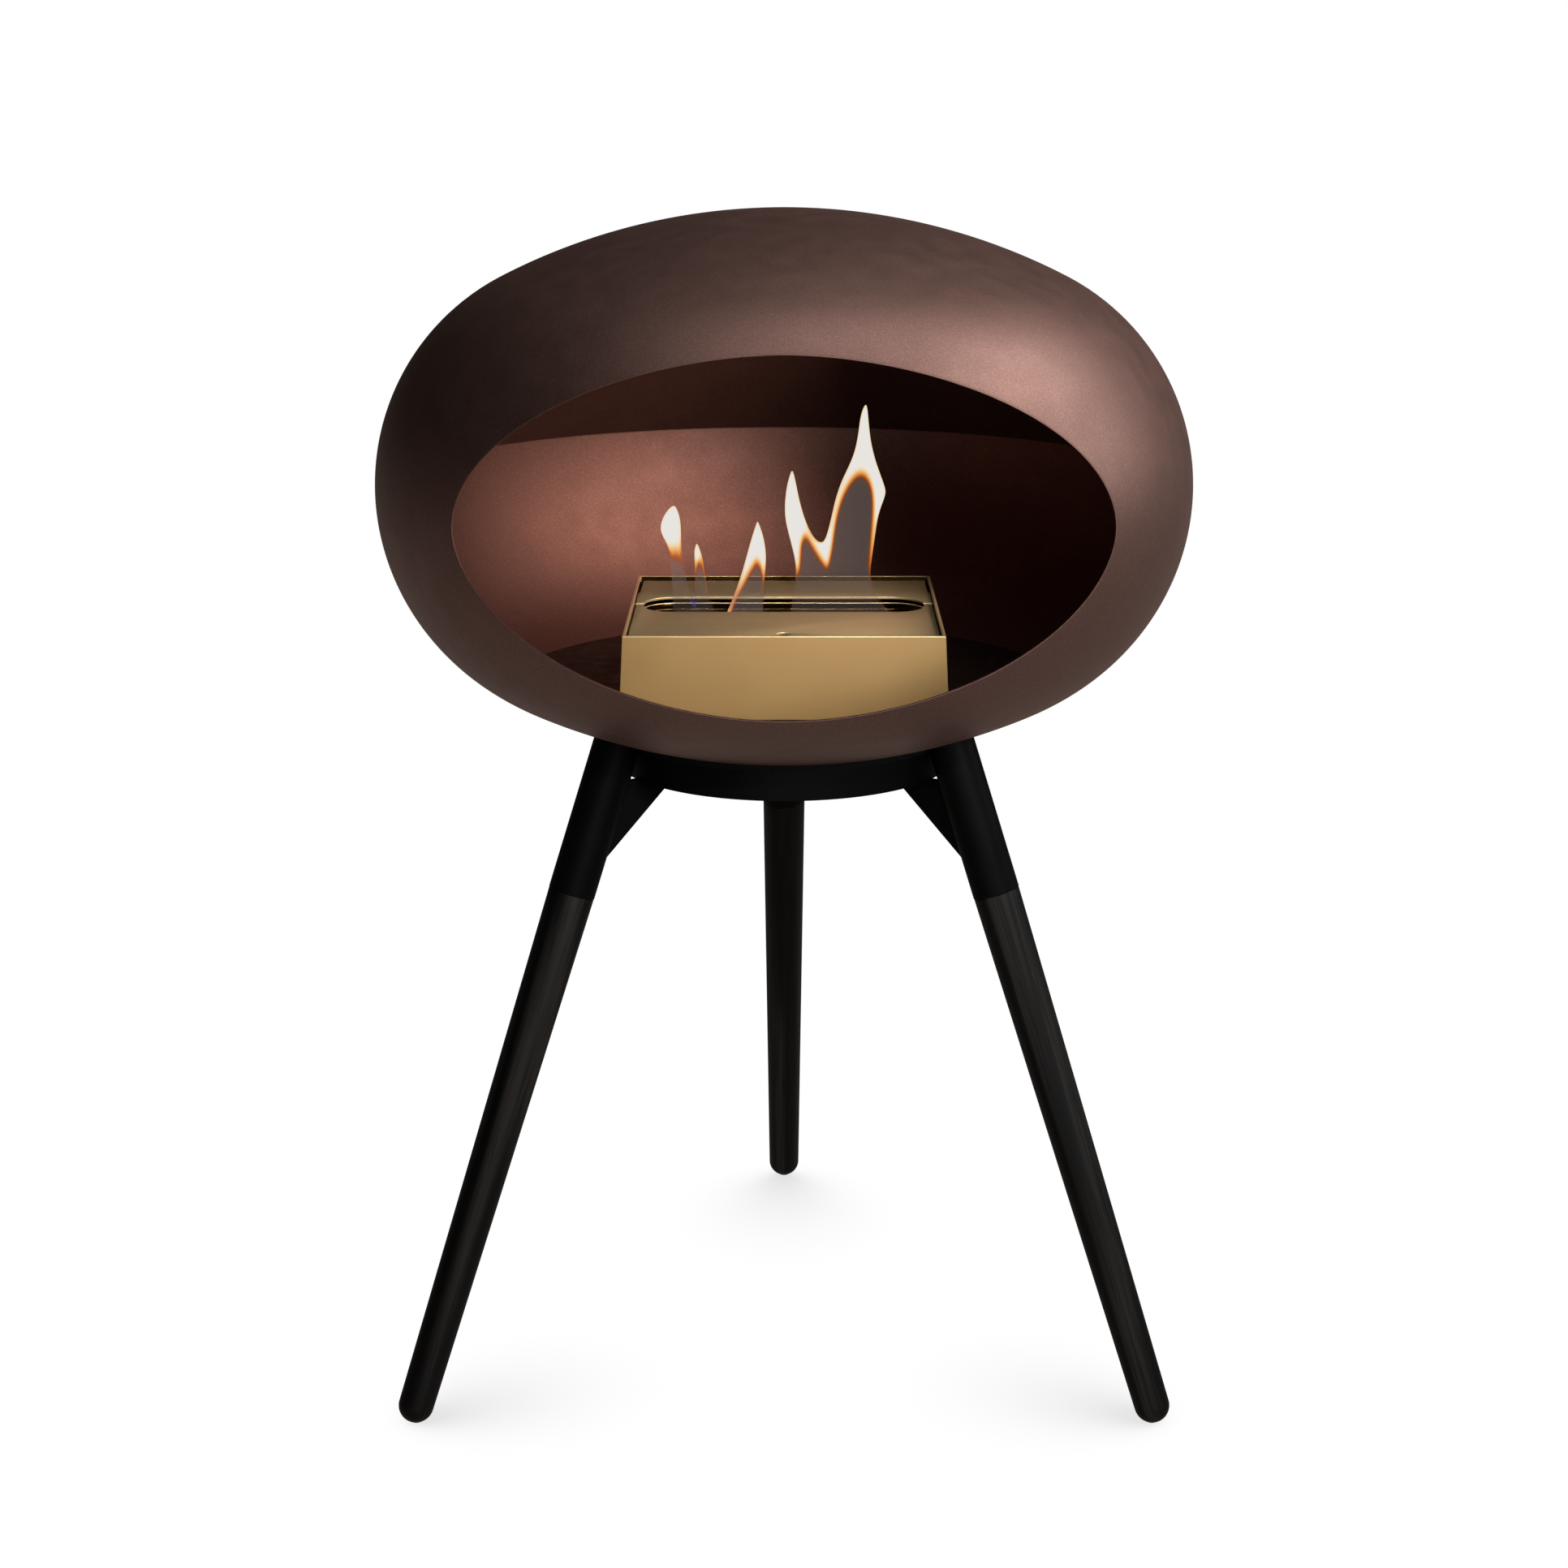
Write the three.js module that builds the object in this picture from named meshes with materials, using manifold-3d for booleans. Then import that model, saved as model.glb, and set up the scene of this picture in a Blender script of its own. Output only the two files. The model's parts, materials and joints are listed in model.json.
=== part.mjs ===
// Free-standing bioethanol fireplace: a flattened spun-steel dome with a wide oval mouth turns on
// the ring of a three-legged stand, and a brass-coloured burner box stands loose on its floor.
// Millimetres, +Z up, mouth towards -Y, feet on z = 0.

import * as THREE from 'three';
import { mergeVertices } from 'three/addons/utils/BufferGeometryUtils.js';
import Module from 'manifold-3d';

const wasm = await Module();
wasm.setup();

// ---------------------------------------------------------------- driving dimensions

const GAP = 0.3;                    // working gap between neighbouring pieces
const DOME_AXIS_Y = -35.3;          // puts the middle of the whole object on y = 0

// Dome: crown arcs above and below, joined by a tighter knuckle arc at the widest line
const DOME_RADIUS = 260;
const CROWN_RADIUS = 398;
const KNUCKLE_RADIUS = 147;
const DOME_CENTRE_Z = 589.5;
const DOME_SHEET = 2.5;
const DOME_SIDES = 56;
const KNUCKLE_STEPS = 9;
const CROWN_STEPS = 5;

// Mouth: an oval (superellipse) seen square from the front
const MOUTH_HALF_WIDTH = 193.4;
const MOUTH_HALF_HEIGHT = 105;
const MOUTH_POWER = 1.87;
const MOUTH_POINTS = 48;

// Inside the dome
const FLOOR_BELOW_CENTRE = 128;     // floor plate top
const FLOOR_SHEET = 2;
const FLOOR_RIM_GAP = 1.2;          // between the floor plate's edge and the sheet it lies in
const SHIELD_RIM_RADIUS = 255.6;    // underside of the ceiling shield, at its rim
const SHIELD_RIM_HEIGHT = 2.7;      // above the dome's centre
const SHIELD_RISE = 130;
const SHIELD_SHEET = 1.5;
const SHIELD_MOUTH_MARGIN = 8;      // the shield stops this far outside the mouth's edge
const STANDOFF_CIRCLE = 120;
const STANDOFF_RADIUS = 4;
const STANDOFF_COUNT = 3;

// Stand: ring, sockets and gussets
const RING_OUTER = 109;
const RING_WALL = 3;
const RING_FLANGE_INNER = 70;
const RING_BOTTOM_Z = 408;
const RING_TOP_Z = 427.5;
const PAD_INNER = 104.5;
const PAD_OUTER = 110;
const SOCKET_RADIUS = 15;
const SOCKET_WALL = 2.5;
const DOME_CLEARANCE = 1;           // the turning dome clears the socket tops by this
const GUSSET_SHEET = 5;
const GUSSET_FOOT_RADIUS = 81;
const GUSSET_APEX_Z = 358;

// Legs: raked outwards, rear one straight back
const LEG_AZIMUTHS = { rear: 90, front_left: 210, front_right: 330 };
const LEG_RAKE = THREE.MathUtils.degToRad(19.83);
const FOOT_CIRCLE = 274.7;
const FOOT_RADIUS = 11.4;
const LEG_TOP_RADIUS = 14.8;
const LEG_JOINT_Z = 339.4;
const LEG_BORE_RADIUS = 5.4;
const LEG_BORE_DEPTH = 42;
const FOOT_FLAT_Z = 1.5;
const GLIDE_RADIUS = 5.2;
const GLIDE_HEIGHT = 1.2;
const STUD_RADIUS = 5;
const STUD_INTO_LEG = 40;
const STUD_INTO_SOCKET = 20;
const INSERT_LENGTH = 14;

// Burner box, tapering outwards to its base
const BURNER_TOP = { width: 196.5, depth: 200 };
const BURNER_FLARE = 0.0507;        // outward lean of each side, mm per mm of height
const BURNER_HEIGHT = 51.7;
const BURNER_CENTRE_Y = -24.4;      // from the dome's axis
const BURNER_WALL = 2;
const BURNER_PAD_HEIGHT = 2;
const BURNER_PAD_RADIUS = 7;
const BURNER_PAD_INSET = 16;

// Top of the burner, depths below the rim
const COVER_SINK = 3;
const PLATE_SHEET = 1.5;
const SLOT_LENGTH = 181;
const SLOT_WIDTH = 41;
const SLOT_Y = -4.4;                // from the dome's axis
const COVER_STEP_Y = 31;            // behind this the fixed cover is narrower
const COVER_STEP = 1.4;
const HOOK_HOLE_RADIUS = 4.6;
const HOOK_HOLE_Y = -94;
const RAIL_HEIGHT = 3;
const RAIL_WIDTH = 3;

// Fuel tank under the slot
const TANK_WIDTH = 186;
const TANK_FRONT_Y = -100;
const TANK_REAR_Y = 60;
const TANK_WALL = 1.5;
const NECK_WALL = 1.5;
const NECK_HEIGHT = 4;
const DECK_LIP = 1;                 // the tank's lid overhangs the tray by this
const ABSORBER_HEIGHT = 22;

// Flat sides that stand for the round of each small turned piece
const LEG_SIDES = 24;
const FOOT_STEPS = 6;
const SOCKET_SIDES = 32;
const INSERT_SIDES = 24;
const STUD_SIDES = 16;
const SMALL_PAD_SIDES = 20;
const HOOK_HOLE_SIDES = 24;
const STANDOFF_SIDES = 6;
const SHIELD_STEPS = 8;
const CUT_PAST = 1;                 // a cutting tool reaches this far past the face that it cuts

// ---------------------------------------------------------------- finishes

const finish = (color, roughness, metalness) =>
  () => new THREE.MeshStandardMaterial({ color, roughness, metalness });

const copperBrown = finish(0x5b3f38, 0.42, 0.85);
const darkFloor = finish(0x2a1a17, 0.6, 0.6);
const blackPowder = finish(0x101010, 0.55, 0.3);
const blackWood = finish(0x1d1b1a, 0.6, 0);
const zincSteel = finish(0x9a9a98, 0.4, 0.9);
const satinBrass = finish(0xa5834f, 0.35, 0.9);
const stainless = finish(0xb4b2ac, 0.35, 0.9);
const blackRubber = finish(0x161616, 0.85, 0);
const ceramicWool = finish(0xe8e4da, 0.95, 0);

// ---------------------------------------------------------------- geometry helpers

const fireplace = new THREE.Group();
fireplace.position.y = DOME_AXIS_Y;

function addPiece(name, geometry, material, parent = fireplace) {
  geometry.deleteAttribute('uv');
  geometry.computeVertexNormals();
  const mesh = new THREE.Mesh(geometry, material());
  mesh.name = name;
  parent.add(mesh);
  return mesh;
}

// A closed geometry as a manifold-3d solid, with collapsed triangles dropped and faces out
function solid(geometry) {
  const bare = geometry.clone();
  bare.deleteAttribute('normal');
  bare.deleteAttribute('uv');
  const merged = mergeVertices(bare, 1e-4);
  const points = merged.getAttribute('position').array;
  const corners = [];
  for (let i = 0; i < merged.index.count; i += 3) {
    const [a, b, c] = merged.index.array.slice(i, i + 3);
    if (a !== b && b !== c && c !== a) corners.push(a, b, c);
  }
  if (signedVolume(points, corners) < 0) corners.reverse();
  const mesh = new wasm.Mesh({
    numProp: 3,
    vertProperties: new Float32Array(points),
    triVerts: new Uint32Array(corners),
  });
  return new wasm.Manifold(mesh);
}

function signedVolume(points, corners) {
  const at = (i) => new THREE.Vector3().fromArray(points, 3 * i);
  let total = 0;
  for (let i = 0; i < corners.length; i += 3) {
    total += at(corners[i]).dot(at(corners[i + 1]).cross(at(corners[i + 2])));
  }
  return total / 6;
}

function geometryOf(manifold) {
  const { vertProperties, triVerts } = manifold.getMesh();
  const geometry = new THREE.BufferGeometry();
  geometry.setAttribute('position', new THREE.BufferAttribute(vertProperties, 3));
  geometry.setIndex(new THREE.BufferAttribute(triVerts, 1));
  return geometry.toNonIndexed();
}

const cut = (geometry, ...tools) =>
  geometryOf(tools.reduce((left, tool) => left.subtract(solid(tool)), solid(geometry)));

const plain = (geometry) => geometryOf(solid(geometry));

// A closed profile of [radius, z] points, turned about the Z axis
function turned(profile, sides) {
  const points = [...profile, profile[0]].map(([radius, z]) => new THREE.Vector2(radius, z));
  return new THREE.LatheGeometry(points, sides).rotateX(Math.PI / 2);
}

function rod(radius, bottomZ, topZ, sides, x = 0, y = 0) {
  return new THREE.CylinderGeometry(radius, radius, topZ - bottomZ, sides)
    .rotateX(Math.PI / 2)
    .translate(x, y, (bottomZ + topZ) / 2);
}

// A block between two corners
function block([x0, y0, z0], [x1, y1, z1]) {
  return new THREE.BoxGeometry(x1 - x0, y1 - y0, z1 - z0)
    .translate((x0 + x1) / 2, (y0 + y1) / 2, (z0 + z1) / 2);
}

// A flat XY outline given a thickness upwards from bottomZ
function slab(shape, bottomZ, thickness) {
  return new THREE.ExtrudeGeometry(shape, { depth: thickness, bevelEnabled: false })
    .translate(0, 0, bottomZ);
}

// ---------------------------------------------------------------- dome

const CROWN_CENTRE = Math.sqrt(
  (CROWN_RADIUS - KNUCKLE_RADIUS) ** 2 - (DOME_RADIUS - KNUCKLE_RADIUS) ** 2);
const KNUCKLE_CENTRE = DOME_RADIUS - KNUCKLE_RADIUS;
const CROWN_START = Math.acos(KNUCKLE_CENTRE / (CROWN_RADIUS - KNUCKLE_RADIUS));
const DOME_HALF_HEIGHT = CROWN_RADIUS - CROWN_CENTRE;

// Quarter meridian from the widest line to the pole, moved inwards by `inset`: [radius, height]
function meridian(inset) {
  const points = [];
  for (let i = 0; i < KNUCKLE_STEPS; i += 1) {
    const slope = (CROWN_START * i) / KNUCKLE_STEPS;
    const radius = KNUCKLE_RADIUS - inset;
    points.push([KNUCKLE_CENTRE + radius * Math.cos(slope), radius * Math.sin(slope)]);
  }
  for (let i = 0; i < CROWN_STEPS; i += 1) {
    const slope = CROWN_START + ((Math.PI / 2 - CROWN_START) * i) / CROWN_STEPS;
    const radius = CROWN_RADIUS - inset;
    points.push([radius * Math.cos(slope), radius * Math.sin(slope) - CROWN_CENTRE]);
  }
  points.push([0, DOME_HALF_HEIGHT - inset]);
  return points;
}

// Radius of the dome's surface, moved inwards by `inset`, at a height from its centre
function domeRadiusAt(height, inset = 0) {
  const reach = Math.abs(height);
  const crownBase = (CROWN_RADIUS - inset) * Math.sin(CROWN_START) - CROWN_CENTRE;
  if (reach > crownBase) return Math.sqrt((CROWN_RADIUS - inset) ** 2 - (reach + CROWN_CENTRE) ** 2);
  return KNUCKLE_CENTRE + Math.sqrt((KNUCKLE_RADIUS - inset) ** 2 - reach ** 2);
}

// Height of the crown's surface from the dome's centre, at a radius
const crownHeightAt = (radius, inset = 0) =>
  Math.sqrt((CROWN_RADIUS - inset) ** 2 - radius ** 2) - CROWN_CENTRE;

// Everything inside the dome's surface moved inwards by `inset` (outwards when negative)
function domeFilled(inset) {
  const upper = meridian(inset);
  const lower = upper.slice(1).reverse().map(([radius, height]) => [radius, -height]);
  return turned([...lower, ...upper], DOME_SIDES).translate(0, 0, DOME_CENTRE_Z);
}

// Half of the dome's sheet: side is 1 for the upper half, -1 for the lower
function domeHalf(side) {
  const outer = meridian(0);
  const inner = meridian(DOME_SHEET).reverse();
  const seam = GAP / 2;
  const profile = [...outer, ...inner].map(([radius, height]) =>
    [radius, side * Math.max(height, seam)]);
  return turned(profile, DOME_SIDES).translate(0, 0, DOME_CENTRE_Z);
}

// The mouth's oval, grown by `margin`, swept forwards from the dome's axis
function mouthCutter(margin = 0) {
  const outline = [];
  for (let i = 0; i < MOUTH_POINTS; i += 1) {
    const turn = (2 * Math.PI * i) / MOUTH_POINTS;
    const x = Math.sign(Math.cos(turn)) * Math.abs(Math.cos(turn)) ** (2 / MOUTH_POWER);
    const z = Math.sign(Math.sin(turn)) * Math.abs(Math.sin(turn)) ** (2 / MOUTH_POWER);
    outline.push(new THREE.Vector2(
      (MOUTH_HALF_WIDTH + margin) * x, (MOUTH_HALF_HEIGHT + margin) * z));
  }
  return new THREE.ExtrudeGeometry(new THREE.Shape(outline), {
    depth: DOME_RADIUS + 10 * CUT_PAST, bevelEnabled: false,
  }).rotateX(Math.PI / 2).translate(0, 0, DOME_CENTRE_Z);
}

const FLOOR_TOP_Z = DOME_CENTRE_Z - FLOOR_BELOW_CENTRE;

function chamberFloor() {
  const bottom = FLOOR_BELOW_CENTRE + FLOOR_SHEET;
  const topRadius = domeRadiusAt(FLOOR_BELOW_CENTRE, DOME_SHEET) - FLOOR_RIM_GAP;
  const bottomRadius = domeRadiusAt(bottom, DOME_SHEET) - FLOOR_RIM_GAP;
  return turned([
    [0, DOME_CENTRE_Z - bottom],
    [bottomRadius, DOME_CENTRE_Z - bottom],
    [topRadius, FLOOR_TOP_Z],
    [0, FLOOR_TOP_Z],
  ], DOME_SIDES);
}

const SHIELD_RADIUS = (SHIELD_RIM_RADIUS ** 2 + SHIELD_RISE ** 2) / (2 * SHIELD_RISE);
const SHIELD_CENTRE = SHIELD_RIM_HEIGHT + SHIELD_RISE - SHIELD_RADIUS;

// The ceiling shield is a shallow spherical cap that meets the dome near its widest line
function ceilingShield() {
  const under = [];
  const over = [];
  for (let i = 0; i <= SHIELD_STEPS; i += 1) {
    const lean = (Math.asin(SHIELD_RIM_RADIUS / SHIELD_RADIUS) * i) / SHIELD_STEPS;
    const outer = SHIELD_RADIUS + SHIELD_SHEET;
    under.push([SHIELD_RADIUS * Math.sin(lean), SHIELD_RADIUS * Math.cos(lean) + SHIELD_CENTRE]);
    over.push([outer * Math.sin(lean), outer * Math.cos(lean) + SHIELD_CENTRE]);
  }
  const cap = turned([...under, ...over.reverse()], DOME_SIDES).translate(0, 0, DOME_CENTRE_Z);
  return cut(cap, mouthCutter(SHIELD_MOUTH_MARGIN));
}

addPiece('dome_lower_shell', cut(domeHalf(-1), mouthCutter()), copperBrown);
addPiece('dome_upper_shell', cut(domeHalf(1), mouthCutter()), copperBrown);
addPiece('chamber_floor', plain(chamberFloor()), darkFloor);
addPiece('ceiling_heat_shield', ceilingShield(), copperBrown);

// Hexagonal stand-offs hold the shield below the crown
function standoff() {
  const inner = STANDOFF_CIRCLE - STANDOFF_RADIUS;
  const outer = STANDOFF_CIRCLE + STANDOFF_RADIUS;
  const shieldTop = Math.sqrt((SHIELD_RADIUS + SHIELD_SHEET) ** 2 - inner ** 2) + SHIELD_CENTRE;
  const bottom = DOME_CENTRE_Z + shieldTop + GAP;
  const top = DOME_CENTRE_Z + crownHeightAt(outer, DOME_SHEET) - 2 * GAP;
  return rod(STANDOFF_RADIUS, bottom, top, STANDOFF_SIDES, STANDOFF_CIRCLE, 0);
}

for (let i = 0; i < STANDOFF_COUNT; i += 1) {
  const piece = addPiece(`shield_standoff_${i + 1}`, plain(standoff()), zincSteel);
  piece.rotation.z = (2 * Math.PI * i) / STANDOFF_COUNT + Math.PI / 2;
}

// ---------------------------------------------------------------- stand

function supportRing() {
  const wallInner = RING_OUTER - RING_WALL;
  return turned([
    [RING_FLANGE_INNER, RING_BOTTOM_Z],
    [RING_OUTER, RING_BOTTOM_Z],
    [RING_OUTER, RING_TOP_Z],
    [wallInner, RING_TOP_Z],
    [wallInner, RING_BOTTOM_Z + RING_WALL],
    [RING_FLANGE_INNER, RING_BOTTOM_Z + RING_WALL],
  ], DOME_SIDES);
}

// The pad's top is a cone that follows the dome's underside
function ringPad() {
  const underDome = (radius) => DOME_CENTRE_Z - crownHeightAt(radius) - GAP;
  return turned([
    [PAD_INNER, RING_TOP_Z + GAP],
    [PAD_OUTER, RING_TOP_Z + GAP],
    [PAD_OUTER, underDome(PAD_OUTER)],
    [PAD_INNER, underDome(PAD_INNER)],
  ], DOME_SIDES);
}

addPiece('support_ring', plain(supportRing()), blackPowder);
addPiece('ring_pad', plain(ringPad()), blackRubber);

// Distance along a leg's axis from the centre of its rounded foot to a height above the floor
const alongLeg = (z) => (z - FOOT_RADIUS) / Math.cos(LEG_RAKE);

// A leg piece is made upright about its own axis, then raked in the XZ plane with its foot at +X
const raked = (geometry) =>
  geometry.rotateY(-LEG_RAKE).translate(FOOT_CIRCLE, 0, FOOT_RADIUS);

const LEG_TOP = alongLeg(LEG_JOINT_Z);

function woodenLeg() {
  const profile = [];
  for (let i = 0; i <= FOOT_STEPS; i += 1) {
    const down = (Math.PI / 2) * (1 - i / FOOT_STEPS);
    profile.push([FOOT_RADIUS * Math.cos(down), -FOOT_RADIUS * Math.sin(down)]);
  }
  profile[0][0] = 0;
  profile.push([LEG_TOP_RADIUS, LEG_TOP]);
  profile.push([LEG_BORE_RADIUS, LEG_TOP]);
  profile.push([LEG_BORE_RADIUS, LEG_TOP - LEG_BORE_DEPTH]);
  profile.push([0, LEG_TOP - LEG_BORE_DEPTH]);
  const reach = 2 * FOOT_RADIUS;
  const floor = block(
    [FOOT_CIRCLE - reach, -reach, -reach],
    [FOOT_CIRCLE + reach, reach, FOOT_FLAT_Z]);
  return cut(raked(turned(profile, LEG_SIDES)), floor);
}

// The socket tube is coped to the dome's underside and to the outside of the ring and its pad
function legSocket() {
  const bottom = LEG_TOP + GAP;
  const top = alongLeg(DOME_CENTRE_Z);
  const tube = turned([
    [SOCKET_RADIUS - SOCKET_WALL, bottom],
    [SOCKET_RADIUS, bottom],
    [SOCKET_RADIUS, top],
    [SOCKET_RADIUS - SOCKET_WALL, top],
  ], SOCKET_SIDES);
  const ring = rod(PAD_OUTER + GAP, RING_BOTTOM_Z - GAP, DOME_CENTRE_Z, DOME_SIDES);
  return cut(raked(tube), domeFilled(-DOME_CLEARANCE), ring);
}

function socketInsert() {
  const bottom = LEG_TOP + GAP;
  return plain(raked(turned([
    [STUD_RADIUS + GAP, bottom],
    [SOCKET_RADIUS - SOCKET_WALL - GAP, bottom],
    [SOCKET_RADIUS - SOCKET_WALL - GAP, bottom + INSERT_LENGTH],
    [STUD_RADIUS + GAP, bottom + INSERT_LENGTH],
  ], INSERT_SIDES)));
}

const legStud = () =>
  plain(raked(rod(STUD_RADIUS, LEG_TOP - STUD_INTO_LEG, LEG_TOP + STUD_INTO_SOCKET, STUD_SIDES)));

const footGlide = () =>
  plain(rod(GLIDE_RADIUS, 0, GLIDE_HEIGHT, SMALL_PAD_SIDES, FOOT_CIRCLE, 0));

// A triangular plate from the inner side of a socket to the underside of the ring
function gusset() {
  const topZ = RING_BOTTOM_Z - GAP;
  const socketInnerAt = (z) => FOOT_CIRCLE - Math.tan(LEG_RAKE) * (z - FOOT_RADIUS)
    - (SOCKET_RADIUS + GAP) / Math.cos(LEG_RAKE);
  const outline = new THREE.Shape([
    new THREE.Vector2(socketInnerAt(GUSSET_APEX_Z), GUSSET_APEX_Z),
    new THREE.Vector2(socketInnerAt(topZ), topZ),
    new THREE.Vector2(GUSSET_FOOT_RADIUS, topZ),
  ]);
  return plain(slab(outline, -GUSSET_SHEET / 2, GUSSET_SHEET).rotateX(Math.PI / 2));
}

for (const [place, azimuth] of Object.entries(LEG_AZIMUTHS)) {
  const leg = new THREE.Group();
  leg.rotation.z = THREE.MathUtils.degToRad(azimuth);
  fireplace.add(leg);
  addPiece(`leg_socket_${place}`, legSocket(), blackPowder, leg);
  addPiece(`gusset_${place}`, gusset(), blackPowder, leg);
  addPiece(`socket_insert_${place}`, socketInsert(), zincSteel, leg);
  addPiece(`leg_stud_${place}`, legStud(), zincSteel, leg);
  addPiece(`wooden_leg_${place}`, woodenLeg(), blackWood, leg);
  addPiece(`foot_glide_${place}`, footGlide(), blackRubber, leg);
}

// ---------------------------------------------------------------- burner

const BURNER_BASE_Z = FLOOR_TOP_Z + BURNER_PAD_HEIGHT + 2 * GAP;
const RIM_Z = BURNER_BASE_Z + BURNER_HEIGHT;
const COVER_TOP_Z = RIM_Z - COVER_SINK;
const SHUTTER_TOP_Z = COVER_TOP_Z - PLATE_SHEET - GAP;
const RAIL_TOP_Z = SHUTTER_TOP_Z - PLATE_SHEET - GAP;
const NECK_TOP_Z = RAIL_TOP_Z - GAP;
const DECK_TOP_Z = NECK_TOP_Z - NECK_HEIGHT;
const TRAY_BOTTOM_Z = BURNER_BASE_Z + BURNER_WALL + GAP;
const REAR_Y = BURNER_CENTRE_Y + BURNER_TOP.depth / 2;
const FRONT_Y = BURNER_CENTRE_Y - BURNER_TOP.depth / 2;
const CAVITY_HALF_WIDTH = BURNER_TOP.width / 2 - BURNER_WALL;

// A four-sided block about the burner's middle, `inset` inside the box's outer faces
function flaredBlock(inset, bottomZ, topZ) {
  const geometry = block([-1, -1, bottomZ], [1, 1, topZ]);
  const position = geometry.getAttribute('position');
  for (let i = 0; i < position.count; i += 1) {
    const z = position.getZ(i);
    const spread = BURNER_FLARE * (RIM_Z - z) - inset;
    position.setX(i, position.getX(i) * (BURNER_TOP.width / 2 + spread));
    position.setY(i, position.getY(i) * (BURNER_TOP.depth / 2 + spread) + BURNER_CENTRE_Y);
  }
  return geometry;
}

// The slot's outline: a straight-sided slot with round ends, grown by `margin`
function slotShape(margin = 0) {
  const radius = SLOT_WIDTH / 2 + margin;
  const straight = (SLOT_LENGTH - SLOT_WIDTH) / 2;
  const shape = new THREE.Shape();
  shape.absarc(straight, SLOT_Y, radius, -Math.PI / 2, Math.PI / 2, false);
  shape.absarc(-straight, SLOT_Y, radius, Math.PI / 2, (3 * Math.PI) / 2, false);
  return shape;
}

// Cuts the slot through everything between two heights
const throatTool = (bottomZ, topZ) =>
  slab(slotShape(), bottomZ - CUT_PAST, topZ - bottomZ + 2 * CUT_PAST);

function burnerCasing() {
  const cavity = flaredBlock(BURNER_WALL, BURNER_BASE_Z + BURNER_WALL, RIM_Z + CUT_PAST);
  return cut(flaredBlock(0, BURNER_BASE_Z, RIM_Z), cavity);
}

// The fixed cover behind the seam, with the rear half of the slot cut in its front edge
function rearCover() {
  const wide = CAVITY_HALF_WIDTH - GAP;
  const narrow = wide - COVER_STEP;
  const rear = REAR_Y - BURNER_WALL - GAP;
  const outline = new THREE.Shape([
    new THREE.Vector2(-wide, SLOT_Y),
    new THREE.Vector2(wide, SLOT_Y),
    new THREE.Vector2(wide, COVER_STEP_Y),
    new THREE.Vector2(narrow, COVER_STEP_Y),
    new THREE.Vector2(narrow, rear),
    new THREE.Vector2(-narrow, rear),
    new THREE.Vector2(-narrow, COVER_STEP_Y),
    new THREE.Vector2(-wide, COVER_STEP_Y),
  ]);
  return cut(slab(outline, COVER_TOP_Z - PLATE_SHEET, PLATE_SHEET),
    throatTool(COVER_TOP_Z - PLATE_SHEET, COVER_TOP_Z));
}

// The shutter slides back under the rear cover until it has closed the slot
function shutterPlate() {
  const half = CAVITY_HALF_WIDTH - GAP;
  const bottom = SHUTTER_TOP_Z - PLATE_SHEET;
  const plate = block(
    [-half, FRONT_Y + BURNER_WALL + GAP, bottom],
    [half, SLOT_Y, SHUTTER_TOP_Z]);
  const hookHole = rod(
    HOOK_HOLE_RADIUS, bottom - CUT_PAST, SHUTTER_TOP_Z + CUT_PAST, HOOK_HOLE_SIDES, 0, HOOK_HOLE_Y);
  return cut(plate, throatTool(bottom, SHUTTER_TOP_Z), hookHole);
}

function slideRail(side) {
  const outer = CAVITY_HALF_WIDTH - GAP;
  const edges = [side * outer, side * (outer - RAIL_WIDTH)].sort((a, b) => a - b);
  return plain(block(
    [edges[0], FRONT_Y + BURNER_WALL + GAP, RAIL_TOP_Z - RAIL_HEIGHT],
    [edges[1], REAR_Y - BURNER_WALL - GAP, RAIL_TOP_Z]));
}

const TANK_HALF = TANK_WIDTH / 2;
const DECK_BOTTOM_Z = DECK_TOP_Z - TANK_WALL;

function tankTray() {
  const top = DECK_BOTTOM_Z - GAP;
  const tray = block([-TANK_HALF, TANK_FRONT_Y, TRAY_BOTTOM_Z], [TANK_HALF, TANK_REAR_Y, top]);
  const hollow = block(
    [-TANK_HALF + TANK_WALL, TANK_FRONT_Y + TANK_WALL, TRAY_BOTTOM_Z + TANK_WALL],
    [TANK_HALF - TANK_WALL, TANK_REAR_Y - TANK_WALL, top + CUT_PAST]);
  return cut(tray, hollow);
}

// The tank's lid is wider than the tray, and a collar round its slot rises to just under the shutter
function tankDeck() {
  const deck = block(
    [-TANK_HALF - DECK_LIP, TANK_FRONT_Y - DECK_LIP, DECK_BOTTOM_Z],
    [TANK_HALF + DECK_LIP, TANK_REAR_Y + DECK_LIP, DECK_TOP_Z]);
  const collar = slab(slotShape(NECK_WALL), DECK_BOTTOM_Z, NECK_TOP_Z - DECK_BOTTOM_Z);
  const throat = throatTool(DECK_BOTTOM_Z, NECK_TOP_Z);
  return geometryOf(solid(deck).add(solid(collar)).subtract(solid(throat)));
}

function fuelAbsorber() {
  const inset = TANK_WALL + 2 * GAP;
  const bottom = TRAY_BOTTOM_Z + TANK_WALL + GAP;
  return plain(block(
    [-TANK_HALF + inset, TANK_FRONT_Y + inset, bottom],
    [TANK_HALF - inset, TANK_REAR_Y - inset, bottom + ABSORBER_HEIGHT]));
}

addPiece('burner_casing', burnerCasing(), satinBrass);
addPiece('rear_cover', rearCover(), satinBrass);
addPiece('shutter_plate', shutterPlate(), satinBrass);
addPiece('slide_rail_left', slideRail(-1), satinBrass);
addPiece('slide_rail_right', slideRail(1), satinBrass);
addPiece('tank_tray', tankTray(), stainless);
addPiece('tank_deck', tankDeck(), satinBrass);
addPiece('fuel_absorber', fuelAbsorber(), ceramicWool);

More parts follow.
